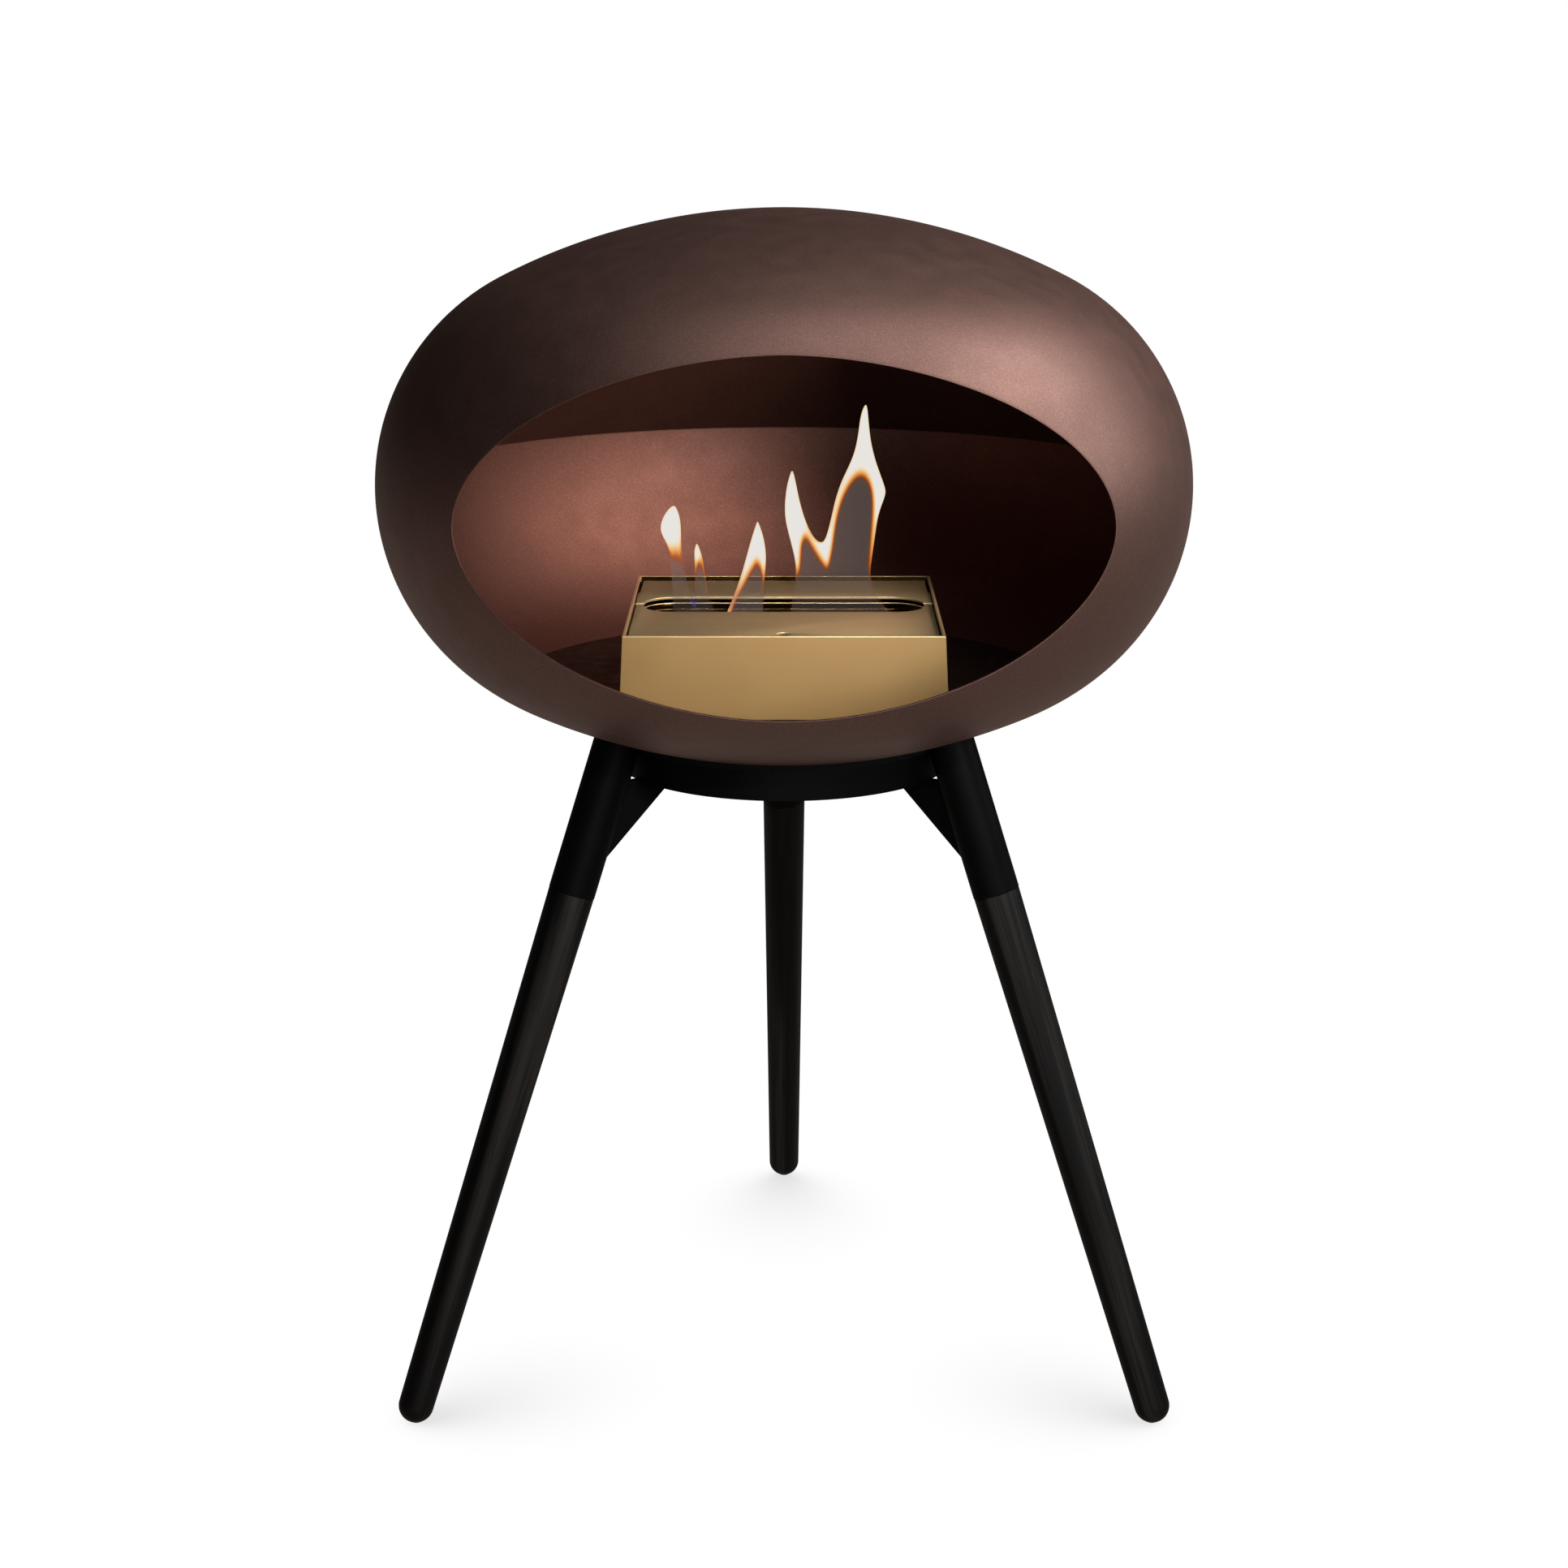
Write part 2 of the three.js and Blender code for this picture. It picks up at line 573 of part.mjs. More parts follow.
const PAD_PLACES = { front_left: [-1, -1], front_right: [1, -1], rear_left: [-1, 1], rear_right: [1, 1] };

for (const [place, [sideX, sideY]] of Object.entries(PAD_PLACES)) {
  const x = sideX * (BURNER_TOP.width / 2 - BURNER_PAD_INSET);
  const y = BURNER_CENTRE_Y + sideY * (BURNER_TOP.depth / 2 - BURNER_PAD_INSET);
  const bottom = FLOOR_TOP_Z + GAP;
  const pad = rod(BURNER_PAD_RADIUS, bottom, bottom + BURNER_PAD_HEIGHT, SMALL_PAD_SIDES, x, y);
  addPiece(`burner_pad_${place}`, plain(pad), blackRubber);
}

export default fireplace;
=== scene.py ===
"""Looks for a free-standing bioethanol fireplace: a satin copper-brown steel dome with a wide oval
mouth, on a black ring and three turned, black-stained legs, with a brass-coloured burner box and
flames inside. Everything is in metres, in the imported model's frame: +Z up, mouth towards -Y."""

import json
from math import acos, asin, cos, pi, radians, sin, sqrt, tan

import bmesh
import bpy
import mathutils.geometry
import numpy as np
from mathutils import Matrix, Vector


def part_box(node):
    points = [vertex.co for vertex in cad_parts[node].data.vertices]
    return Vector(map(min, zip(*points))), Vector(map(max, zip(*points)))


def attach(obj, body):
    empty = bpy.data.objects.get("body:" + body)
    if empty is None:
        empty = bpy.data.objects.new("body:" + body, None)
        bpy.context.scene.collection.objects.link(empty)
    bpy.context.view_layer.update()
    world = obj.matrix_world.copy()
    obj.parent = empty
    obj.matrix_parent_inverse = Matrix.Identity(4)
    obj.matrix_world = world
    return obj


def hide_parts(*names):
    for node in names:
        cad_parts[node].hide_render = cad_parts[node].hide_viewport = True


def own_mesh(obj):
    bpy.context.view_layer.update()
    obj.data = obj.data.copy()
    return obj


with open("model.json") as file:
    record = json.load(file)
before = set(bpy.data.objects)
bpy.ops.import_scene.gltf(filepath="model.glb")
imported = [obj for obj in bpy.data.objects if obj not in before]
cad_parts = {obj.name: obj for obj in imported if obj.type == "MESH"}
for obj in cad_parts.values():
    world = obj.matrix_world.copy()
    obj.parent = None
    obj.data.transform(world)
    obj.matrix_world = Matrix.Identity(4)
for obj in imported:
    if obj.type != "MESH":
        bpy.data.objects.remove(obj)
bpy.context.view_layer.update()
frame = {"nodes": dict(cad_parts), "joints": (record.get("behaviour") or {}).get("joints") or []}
SCENE = bpy.context.scene

MM = 0.001

# ------------------------------ sizes, from the frame where it has them

AXIS_Y = next(joint["pos_m"][1] for joint in frame["joints"] if joint["name"] == "dome_turn")

dome_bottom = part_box("dome_lower_shell")[0].z
upper_low, upper_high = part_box("dome_upper_shell")
DOME_RADIUS = (upper_high.x - upper_low.x) / 2
DOME_Z = (dome_bottom + upper_high.z) / 2
DOME_HALF_HEIGHT = (upper_high.z - dome_bottom) / 2
DOME_SHEET = 2.5 * MM
KNUCKLE_RADIUS = 147 * MM
KNUCKLE_CENTRE = DOME_RADIUS - KNUCKLE_RADIUS
CROWN_RADIUS = (
    (DOME_RADIUS**2 - 2 * DOME_RADIUS * KNUCKLE_RADIUS + DOME_HALF_HEIGHT**2)
    / (2 * (DOME_HALF_HEIGHT - KNUCKLE_RADIUS)))
CROWN_CENTRE = CROWN_RADIUS - DOME_HALF_HEIGHT
CROWN_START = acos(KNUCKLE_CENTRE / (CROWN_RADIUS - KNUCKLE_RADIUS))

MOUTH_HALF_WIDTH = 193.4 * MM
MOUTH_HALF_HEIGHT = 105.25 * MM
MOUTH_POWER = 1.87
SHIELD_MOUTH_MARGIN = 8 * MM

FLOOR_TOP_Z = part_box("chamber_floor")[1].z
FLOOR_SHEET = 2 * MM

LEG_AZIMUTHS = {"rear": 90, "front_left": 210, "front_right": 330}
LEG_RAKE = radians(19.83)
rear_glide_low, rear_glide_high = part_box("foot_glide_rear")
FOOT_CIRCLE = (rear_glide_low.y + rear_glide_high.y) / 2 - AXIS_Y
FOOT_RADIUS = 11.35 * MM
LEG_TOP_RADIUS = 14.8 * MM
LEG_JOINT_Z = 339.4 * MM
FOOT_FLAT_Z = rear_glide_high.z
LEG_TOP = (LEG_JOINT_Z - FOOT_RADIUS) / cos(LEG_RAKE)
SOCKET_RADIUS = 15 * MM
WELD = 0.15 * MM

SHUTTER_LOW, SHUTTER_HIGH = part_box("shutter_plate")
COVER_LOW, COVER_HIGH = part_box("rear_cover")
CASING_LOW, CASING_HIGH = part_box("burner_casing")
CASING_Y = (CASING_LOW.y + CASING_HIGH.y) / 2
SLOT_Y = SHUTTER_HIGH.y
SLOT_LENGTH = 181 * MM
SLOT_WIDTH = 41 * MM
TOP_BEVEL = 0.3 * MM

# Sides of what is turned, and steps round each end of the slot.
DOME_SIDES = 192
DISC_SIDES = 160
RING_SIDES = 128
SOCKET_SIDES = 96
LEG_SIDES = 72
PAD_SIDES = 48
SLOT_STEPS = 24

ON_AXIS = Matrix.Translation((0, AXIS_Y, 0))
IN_DOME = Matrix.Translation((0, AXIS_Y, DOME_Z))


# ------------------------------ mesh helpers

def finish_mesh(name, bm, matrix=None):
    """Makes a smooth piece of a bmesh, moved by the matrix first."""
    if matrix is not None:
        bm.transform(matrix)
    bmesh.ops.recalc_face_normals(bm, faces=bm.faces)
    mesh = bpy.data.meshes.new(name)
    bm.to_mesh(mesh)
    bm.free()
    for polygon in mesh.polygons:
        polygon.use_smooth = True
    piece = bpy.data.objects.new(name, mesh)
    SCENE.collection.objects.link(piece)
    return piece


def ring_mesh(name, rings, loop=False, matrix=None):
    """A skin over rings of points. A ring of one point closes an end; loop joins last to first."""
    bm = bmesh.new()
    rows = [[bm.verts.new(point) for point in ring] for ring in rings]
    pairs = list(zip(rows, rows[1:]))
    if loop:
        pairs.append((rows[-1], rows[0]))
    for first, second in pairs:
        count = max(len(first), len(second))
        for i in range(count):
            j = (i + 1) % count
            corners = [first[i % len(first)], first[j % len(first)]]
            corners += [second[j % len(second)], second[i % len(second)]]
            bm.faces.new(dict.fromkeys(corners))
    return finish_mesh(name, bm, matrix)


def open_sheet(columns):
    """A bmesh with one open sheet over columns of points."""
    bm = bmesh.new()
    grid = [[bm.verts.new(point) for point in column] for column in columns]
    for first, second in zip(grid, grid[1:]):
        for i in range(len(first) - 1):
            bm.faces.new((first[i], second[i], second[i + 1], first[i + 1]))
    return bm


def rounded(points, radius, steps=4, closed=True):
    """A polyline of 2-D points with each corner turned into a small arc."""
    result = []
    count = len(points)
    for i, point in enumerate(points):
        if not closed and i in (0, count - 1):
            result.append(tuple(point))
            continue
        here = Vector(point)
        back = Vector(points[i - 1]) - here
        ahead = Vector(points[(i + 1) % count]) - here
        reach = min(radius, 0.45 * back.length, 0.45 * ahead.length)
        start = here + back.normalized() * reach
        end = here + ahead.normalized() * reach
        for step in range(steps + 1):
            t = step / steps
            arc = start * (1 - t) ** 2 + here * 2 * t * (1 - t) + end * t**2
            result.append((arc.x, arc.y))
    return result


def turned(name, profile, sides, matrix):
    """A profile of (radius, z) turned about Z. It closes on itself unless it ends on the axis."""
    rings = []
    for radius, z in profile:
        if radius < 1e-7:
            rings.append([(0, 0, z)])
            continue
        rings.append([
            (radius * cos(turn), radius * sin(turn), z)
            for turn in (2 * pi * i / sides for i in range(sides))])
    open_ended = len(rings[0]) == 1 and len(rings[-1]) == 1
    return ring_mesh(name, rings, loop=not open_ended, matrix=matrix)


def evaluated_mesh(piece):
    """The mesh that a curve, or a piece with modifiers, comes out as."""
    bpy.context.view_layer.update()
    graph = bpy.context.evaluated_depsgraph_get()
    return bpy.data.meshes.new_from_object(piece.evaluated_get(graph))


def plate(name, outlines, bottom, top, bevel, matrix=None):
    """A flat plate between two heights with softened edges. Later outlines are holes in the first."""
    curve = bpy.data.curves.new(name, "CURVE")
    curve.dimensions = "2D"
    curve.fill_mode = "BOTH"
    curve.extrude = (top - bottom) / 2 - bevel
    curve.bevel_depth = bevel
    curve.bevel_resolution = 1
    curve.offset = -bevel
    for outline in outlines:
        spline = curve.splines.new("POLY")
        spline.points.add(len(outline) - 1)
        for knot, (x, y) in zip(spline.points, outline):
            knot.co = (x, y, 0, 1)
        spline.use_cyclic_u = True
    flat = bpy.data.objects.new(name + "_outline", curve)
    SCENE.collection.objects.link(flat)
    mesh = evaluated_mesh(flat)
    bpy.data.objects.remove(flat)
    bm = bmesh.new()
    bm.from_mesh(mesh)
    bmesh.ops.remove_doubles(bm, verts=bm.verts, dist=1e-6)
    bmesh.ops.translate(bm, verts=bm.verts, vec=(0, 0, (bottom + top) / 2))
    bpy.data.meshes.remove(mesh)
    piece = finish_mesh(name, bm, matrix)
    smooth_by_angle(piece, 35)
    return piece


def smooth_by_angle(piece, degrees=40):
    """Smooth shading that stays crisp across edges sharper than the angle."""
    piece.data.set_sharp_from_angle(angle=radians(degrees))


def cut_away(piece, *cutters):
    """Takes the cutters out of a piece and removes them."""
    for cutter in cutters:
        modifier = piece.modifiers.new("cut", "BOOLEAN")
        modifier.operation = "DIFFERENCE"
        modifier.solver = "EXACT"
        modifier.object = cutter
    mesh = evaluated_mesh(piece)
    piece.modifiers.clear()
    piece.data = mesh
    for cutter in cutters:
        bpy.data.objects.remove(cutter)


def refinish(piece, material, chosen):
    """Gives the faces picked by chosen(polygon) a finish of their own."""
    piece.data.materials.append(material)
    for polygon in piece.data.polygons:
        if chosen(polygon):
            polygon.material_index = len(piece.data.materials) - 1


def is_bevel(polygon):
    """Whether a face of a flat plate is one of its softened edges."""
    return 0.15 < abs(polygon.normal.z) < 0.97


def dress(piece, body, material, replaced=()):
    """Hands a finished piece to the frame: its body, material and the nodes it stands for."""
    piece.data.materials.clear()
    piece.data.materials.append(material)
    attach(piece, body)
    if replaced:
        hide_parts(*replaced)


# ------------------------------ material helpers

def srgb(code):
    """A hex colour as the linear colour that shaders use."""
    parts = [int(code[i:i + 2], 16) / 255 for i in (0, 2, 4)]
    linear = [c / 12.92 if c <= 0.04045 else ((c + 0.055) / 1.055) ** 2.4 for c in parts]
    return (*linear, 1)


def grey(value):
    return (value, value, value, 1)


def plug(tree, socket, value):
    """Links another socket into this one, or sets its value."""
    if isinstance(value, bpy.types.NodeSocket):
        tree.links.new(value, socket)
    else:
        socket.default_value = value


def add_node(tree, kind, **inputs):
    """A new node. Each named input gets a socket or a value, with _ for a space in its name."""
    node = tree.nodes.new(kind)
    for key, value in inputs.items():
        plug(tree, node.inputs[key.replace("_", " ")], value)
    return node


class Finish:
    """A Principled material whose colour, roughness and bump come from noise in object space."""

    def __init__(self, name, roughness, metallic=0, specular=0.5):
        self.material = bpy.data.materials.new(name)
        self.material.use_nodes = True
        self.tree = self.material.node_tree
        self.shader = self.tree.nodes["Principled BSDF"]
        self.set("Roughness", roughness)
        self.set("Metallic", metallic)
        self.set("Specular IOR Level", specular)
        self.place = self.add("ShaderNodeTexCoord").outputs["Object"]
        self.height = None

    def add(self, kind, **inputs):
        return add_node(self.tree, kind, **inputs)

    def set(self, key, value):
        """Gives the shader's input a value or a socket."""
        plug(self.tree, self.shader.inputs[key], value)

    def attribute(self, name):
        node = self.add("ShaderNodeAttribute")
        node.attribute_name = name
        return node.outputs["Vector"]

    def noise(self, scale, detail, stretch=(1, 1, 1), distortion=0):
        place = self.add("ShaderNodeMapping", Vector=self.place, Scale=stretch).outputs["Vector"]
        return self.add(
            "ShaderNodeTexNoise", Vector=place, Scale=scale, Detail=detail,
            Distortion=distortion).outputs["Fac"]

    def ramp(self, source, stops):
        """source through a colour ramp of (position, linear colour)."""
        node = self.add("ShaderNodeValToRGB", Fac=source)
        elements = node.color_ramp.elements
        while len(elements) < len(stops):
            elements.new(0.5)
        for element, (position, color) in zip(elements, stops):
            element.position = position
            element.color = color
        return node.outputs["Color"]

    def tones(self, source, first, second):
        """source as a blend of two hex colours."""
        return self.ramp(source, [(0.3, srgb(first)), (0.7, srgb(second))])

    def spread(self, source, low, high, start=0.3, end=0.7):
        """source between start and end, spread over low to high."""
        node = self.add(
            "ShaderNodeMapRange", Value=source, From_Min=start, From_Max=end, To_Min=low, To_Max=high)
        return node.outputs["Result"]

    def mixed(self, amount, first, second):
        """Two colours or colour sockets blended by a socket."""
        node = self.add("ShaderNodeMix", Factor=amount)
        node.data_type = "RGBA"
        colors = [socket for socket in node.inputs if socket.type == "RGBA"]
        plug(self.tree, colors[0], first)
        plug(self.tree, colors[1], second)
        return [socket for socket in node.outputs if socket.type == "RGBA"][0]

    def math(self, operation, first, second):
        """first and second, a socket or a number, put through a Math node."""
        node = self.add("ShaderNodeMath")
        node.operation = operation
        plug(self.tree, node.inputs[0], first)
        plug(self.tree, node.inputs[1], second)
        return node.outputs["Value"]

    def color(self, source):
        self.set("Base Color", source)

    def roughness(self, source):
        self.set("Roughness", source)

    def bump(self, source, distance, strength):
        """Adds a layer of bump on top of the ones before it."""
        node = self.add("ShaderNodeBump", Strength=strength, Distance=distance, Height=source)
        if self.height is not None:
            self.tree.links.new(self.height, node.inputs["Normal"])
        self.height = node.outputs["Normal"]
        self.set("Normal", self.height)


# ------------------------------ materials

def dome_lacquer():
    """Satin metallic lacquer: fine flake, slow drift in tone, the faintest orange peel."""
    finish = Finish("satin_lacquer", roughness=0.5, metallic=0.9)
    flake = finish.noise(1100, detail=2)
    drift = finish.noise(5, detail=3)
    tone = finish.tones(drift, "6d524b", "775951")
    spark = finish.spread(flake, 0, 0.2, 0.45, 0.72)
    finish.color(finish.mixed(spark, tone, srgb("b3968b")))
    finish.roughness(finish.spread(finish.noise(60, detail=4), 0.47, 0.53))
    finish.bump(flake, 0.00006, 0.35)
    finish.bump(finish.noise(240, detail=2), 0.0001, 0.12)
    return finish.material


def chamber_paint():
    """Matt heat-resistant paint with a fine tooth and soot-like drift in tone."""
    finish = Finish("chamber_paint", roughness=0.6, metallic=0.35)
    drift = finish.noise(14, detail=5)
    finish.color(finish.tones(drift, "2a1a17", "38241f"))
    finish.roughness(finish.spread(finish.noise(90, detail=4), 0.5, 0.68))
    finish.bump(finish.noise(900, detail=3), 0.0001, 0.3)
    return finish.material


def powder_coat():
    """Black powder coat with its fine pebbled texture."""
    finish = Finish("powder_coat", roughness=0.5, specular=0.05)
    grain = finish.noise(1300, detail=3)
    finish.color(finish.tones(finish.noise(40, detail=4), "040404", "070707"))
    finish.roughness(finish.spread(grain, 0.44, 0.6))
    finish.bump(grain, 0.00012, 0.4)
    return finish.material


def stained_wood():
    """Black-stained wood: long pores and growth lines along the leg, which is the local Z axis."""
    finish = Finish("stained_wood", roughness=0.5, specular=0.12)
    finish.place = finish.attribute("grain")
    figure = finish.noise(70, detail=6, stretch=(1, 1, 0.035), distortion=0.6)
    pores = finish.noise(620, detail=4, stretch=(1, 1, 0.02))
    tone = finish.ramp(figure, [(0.38, srgb("030303")), (0.5, srgb("0d0c0c")), (0.64, srgb("252220"))])
    finish.color(finish.mixed(finish.spread(pores, 0, 0.75, 0.5, 0.66), tone, srgb("080707")))
    finish.roughness(finish.spread(figure, 0.42, 0.6))
    finish.bump(pores, 0.0003, 0.45)
    finish.bump(figure, 0.0004, 0.25)
    return finish.material


def satin_brass(name, light, dark, metallic, roughness):
    """Brass-coloured metal with a faint rolled grain across the sheet."""
    finish = Finish(name, roughness, metallic)
    rolled = finish.noise(260, detail=2, stretch=(0.03, 1, 1))
    drift = finish.noise(18, detail=3)
    finish.color(finish.tones(drift, dark, light))
    finish.roughness(finish.spread(rolled, roughness - 0.03, roughness + 0.03))
    finish.bump(rolled, 0.00004, 0.1)
    return finish.material


def brushed_steel():
    """Bare stainless sheet for the tank."""
    finish = Finish("brushed_steel", roughness=0.35, metallic=1)
    brushed = finish.noise(700, detail=3, stretch=(0.02, 1, 1))
    finish.color(finish.tones(brushed, "9c9a96", "bab8b3"))
    finish.roughness(finish.spread(brushed, 0.28, 0.42))
    finish.bump(brushed, 0.00005, 0.3)
    return finish.material


def zinc_plate():
    """Zinc-plated fasteners."""
    finish = Finish("zinc_plate", roughness=0.38, metallic=1)
    spangle = finish.noise(130, detail=2)
    finish.color(finish.ramp(spangle, [(0.35, srgb("8f9092")), (0.65, srgb("b4b5b4"))]))
    finish.roughness(finish.spread(spangle, 0.3, 0.46))
    return finish.material


def black_rubber():
    """Dull rubber for the pads and glides."""
    finish = Finish("black_rubber", roughness=0.8, specular=0.1)
    grain = finish.noise(900, detail=3)
    finish.color(finish.tones(grain, "050505", "0b0b0b"))
    finish.bump(grain, 0.0001, 0.4)
    return finish.material


def ceramic_wool():
    """Fibrous wool, stained by fuel."""
    finish = Finish("ceramic_wool", roughness=0.95)
    fibre = finish.noise(420, detail=6, stretch=(0.2, 1, 1), distortion=1.5)
    finish.color(finish.tones(fibre, "3a332c", "6b6258"))
    finish.bump(fibre, 0.0006, 0.7)
    return finish.material


def flame_glow():
    """Flame. "look" holds three numbers: warmth runs from clear grey vapour through orange to cream
    white, cool turns the foot of a flame lilac and thin, and blue marks where the vapour catches."""
    finish = Finish("flame_glow", roughness=1, specular=0)
    look = finish.attribute("look")
    warmth, cool, blue = finish.add("ShaderNodeSeparateXYZ", Vector=look).outputs
    glow = finish.ramp(warmth, [
        (0.1, srgb("7a6d68")), (0.17, srgb("9a4c1e")), (0.28, srgb("d5742a")), (0.42, srgb("edb068")),
        (0.58, srgb("f0d8b0")), (0.74, srgb("e8e5e1"))])
    lilac = finish.math("MULTIPLY", cool, finish.spread(warmth, 0, 1, 0.12, 0.3))
    glow = finish.mixed(lilac, glow, srgb("b09ea6"))
    glow = finish.mixed(blue, glow, srgb("3f45b0"))
    cover = finish.ramp(
        warmth, [(0.1, grey(0.2)), (0.2, grey(0.42)), (0.32, grey(0.8)), (0.6, grey(0.97))])
    thinned = finish.math("MULTIPLY", cover, finish.spread(cool, 1, 0.12, 0, 1))
    cover = finish.math("MAXIMUM", thinned, finish.math("MULTIPLY", blue, 0.4))
    finish.set("Base Color", (0, 0, 0, 1))
    finish.set("Emission Color", glow)
    finish.set("Emission Strength", 1.0)
    finish.set("Alpha", cover)
    return finish.material


# ------------------------------ dome

def dome_reach(directions, inset):
    """Distance from the dome's centre to its surface, moved inwards by inset, along unit directions."""
    flat = np.hypot(directions[:, 0], directions[:, 1])
    rise = np.abs(directions[:, 2])
    knuckle = KNUCKLE_RADIUS - inset
    crown = CROWN_RADIUS - inset
    to_knuckle = flat * KNUCKLE_CENTRE + np.sqrt(
        np.maximum((flat * KNUCKLE_CENTRE) ** 2 - KNUCKLE_CENTRE**2 + knuckle**2, 0))
    to_crown = -rise * CROWN_CENTRE + np.sqrt((rise * CROWN_CENTRE) ** 2 - CROWN_CENTRE**2 + crown**2)
    slope = np.arctan2(to_knuckle * rise, to_knuckle * flat - KNUCKLE_CENTRE)
    return np.where(slope <= CROWN_START, to_knuckle, to_crown)


def dome_radius_at(height, inset):
    """Radius of the dome's surface at a height from its centre, on the knuckle."""
    return KNUCKLE_CENTRE + np.sqrt((KNUCKLE_RADIUS - inset) ** 2 - np.square(height))


def crown_height_at(radius):
    """Height of the dome's surface above its centre at a radius, on the crown."""
    return sqrt(CROWN_RADIUS**2 - radius**2) - CROWN_CENTRE


def mouth_outline(count, margin=0.0):
    """The mouth's oval as arrays of x and height from the dome's centre."""
    turn = 2 * np.pi * np.arange(count) / count
    power = 2 / MOUTH_POWER
    x = np.sign(np.cos(turn)) * np.abs(np.cos(turn)) ** power * (MOUTH_HALF_WIDTH + margin)
    z = np.sign(np.sin(turn)) * np.abs(np.sin(turn)) ** power * (MOUTH_HALF_HEIGHT + margin)
    return x, z


def unit(vectors):
    return vectors / np.linalg.norm(vectors, axis=1, keepdims=True)


def dome_skin(edge, inset, rows):
    """Rings on the dome's surface from the mouth's edge back to the point opposite the mouth. They
    crowd together a little near the mouth."""
    crowding = 1.25
    start = unit(edge)
    back = np.array([0, 1, 0])
    angle = np.arccos(np.clip(start @ back, -1, 1))[:, None]
    rings = []
    for row in range(1, rows):
        t = (row / rows) ** crowding
        directions = unit((np.sin((1 - t) * angle) * start + np.sin(t * angle) * back) / np.sin(angle))
        rings.append(directions * dome_reach(directions, inset)[:, None])
    rings.append(np.array([[0, DOME_RADIUS - inset, 0]]))
    return rings


def softened_edge(corner, before, after, reach):
    """Three rings that turn a sharp corner ring into a small round between two directions."""
    first = corner + unit(before - corner) * reach
    last = corner + unit(after - corner) * reach
    return [first, 0.25 * first + 0.5 * corner + 0.25 * last, last]


def dome_shell(material):
    """The whole dome as one spun and welded sheet, with its cut edge round the mouth."""
    sides, rows = 240, 84
    edge_round = 0.5 * MM
    x, z = mouth_outline(sides)

    def edge_at(inset):
        return np.stack([x, -np.sqrt(dome_radius_at(z, inset) ** 2 - x**2), z], axis=1)

    outer_edge, inner_edge = edge_at(0), edge_at(DOME_SHEET)
    outer = dome_skin(outer_edge, 0, rows)
    inner = dome_skin(inner_edge, DOME_SHEET, rows)
    rings = outer[::-1]
    rings += softened_edge(outer_edge, outer[0], inner_edge, edge_round)
    rings += softened_edge(inner_edge, outer_edge, inner[0], edge_round)
    rings += inner
    piece = ring_mesh("dome_shell", rings, matrix=IN_DOME)
    dress(piece, "dome", material, ["dome_lower_shell", "dome_upper_shell"])


def mouth_cutter(margin):
    """A tool in the mouth's shape, from in front of the dome to its axis."""
    x, z = mouth_outline(DISC_SIDES, margin)
    depth = DOME_RADIUS + 20 * MM
    front, back = ([(px, y, pz) for px, pz in zip(x, z)] for y in (-depth, 0))
    rings = [[(0, -depth, 0)], front, back, [(0, 0, 0)]]
    return ring_mesh("mouth_cutter", rings, matrix=IN_DOME)


def ceiling_shield(material):
    """The inner ceiling: a shallow spun cap whose rim lies just above the dome's widest line."""
    rim_radius, rim_height, rise, sheet = 255.6 * MM, 2.7 * MM, 130 * MM, 1.5 * MM
    radius = (rim_radius**2 + rise**2) / (2 * rise)
    centre = rim_height + rise - radius
    widest = asin(rim_radius / radius)
    steps = 60
    leans = [widest * i / steps for i in range(steps + 1)]

    def cap(r):
        return [(r * sin(a), r * cos(a) + centre) for a in leans]

    piece = turned("ceiling_shield", cap(radius) + cap(radius + sheet)[::-1], DOME_SIDES, IN_DOME)
    cut_away(piece, mouth_cutter(SHIELD_MOUTH_MARGIN))
    smooth_by_angle(piece)
    dress(piece, "dome", material, ["ceiling_heat_shield"])


def chamber_floor(material):
    """The flat plate that the burner stands on, cut to the inside of the dome."""
    below = DOME_Z - FLOOR_TOP_Z
    clear = 0.2 * MM
    top_radius = float(dome_radius_at(below, DOME_SHEET)) - clear
    bottom = below + FLOOR_SHEET
    bottom_radius = sqrt((CROWN_RADIUS - DOME_SHEET) ** 2 - (bottom + CROWN_CENTRE) ** 2) - clear
    profile = [(0, -bottom), (bottom_radius, -bottom), (top_radius, -below), (0, -below)]
    profile = rounded(profile, 0.4 * MM, closed=False)
    piece = turned("chamber_floor_plate", profile, DISC_SIDES, IN_DOME)
    smooth_by_angle(piece)
    dress(piece, "dome", material, ["chamber_floor"])


# ------------------------------ stand

def support_ring(material):
    """The ring that carries the dome: an upright band with a flange turned inwards."""
    low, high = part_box("support_ring")
    outer, wall, inner = high.x, 3 * MM, 70 * MM
    profile = rounded([
        (inner, low.z), (outer, low.z), (outer, high.z), (outer - wall, high.z),
        (outer - wall, low.z + wall), (inner, low.z + wall)], 0.4 * MM)
    piece = turned("support_ring_band", profile, RING_SIDES, ON_AXIS)
    smooth_by_angle(piece)
    dress(piece, "stand", material, ["support_ring"])


def ring_pad(material):
    """The pad, pressed between the ring's wall and the dome so that no light shows through."""
    bottom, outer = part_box("support_ring")[1].z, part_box("ring_pad")[1].x
    inner, squeeze = 104.5 * MM, 0.03 * MM
    profile = [
        (inner, bottom), (outer, bottom),
        (outer, DOME_Z - crown_height_at(outer) - squeeze),
        (inner, DOME_Z - crown_height_at(inner) + squeeze)]
    piece = turned("ring_pad_band", profile, DISC_SIDES, ON_AXIS)
    smooth_by_angle(piece)
    dress(piece, "stand", material, ["ring_pad"])


def facing(azimuth):
    """Turns what is made along X to an azimuth about the dome's axis."""
    return ON_AXIS @ Matrix.Rotation(radians(azimuth), 4, "Z")


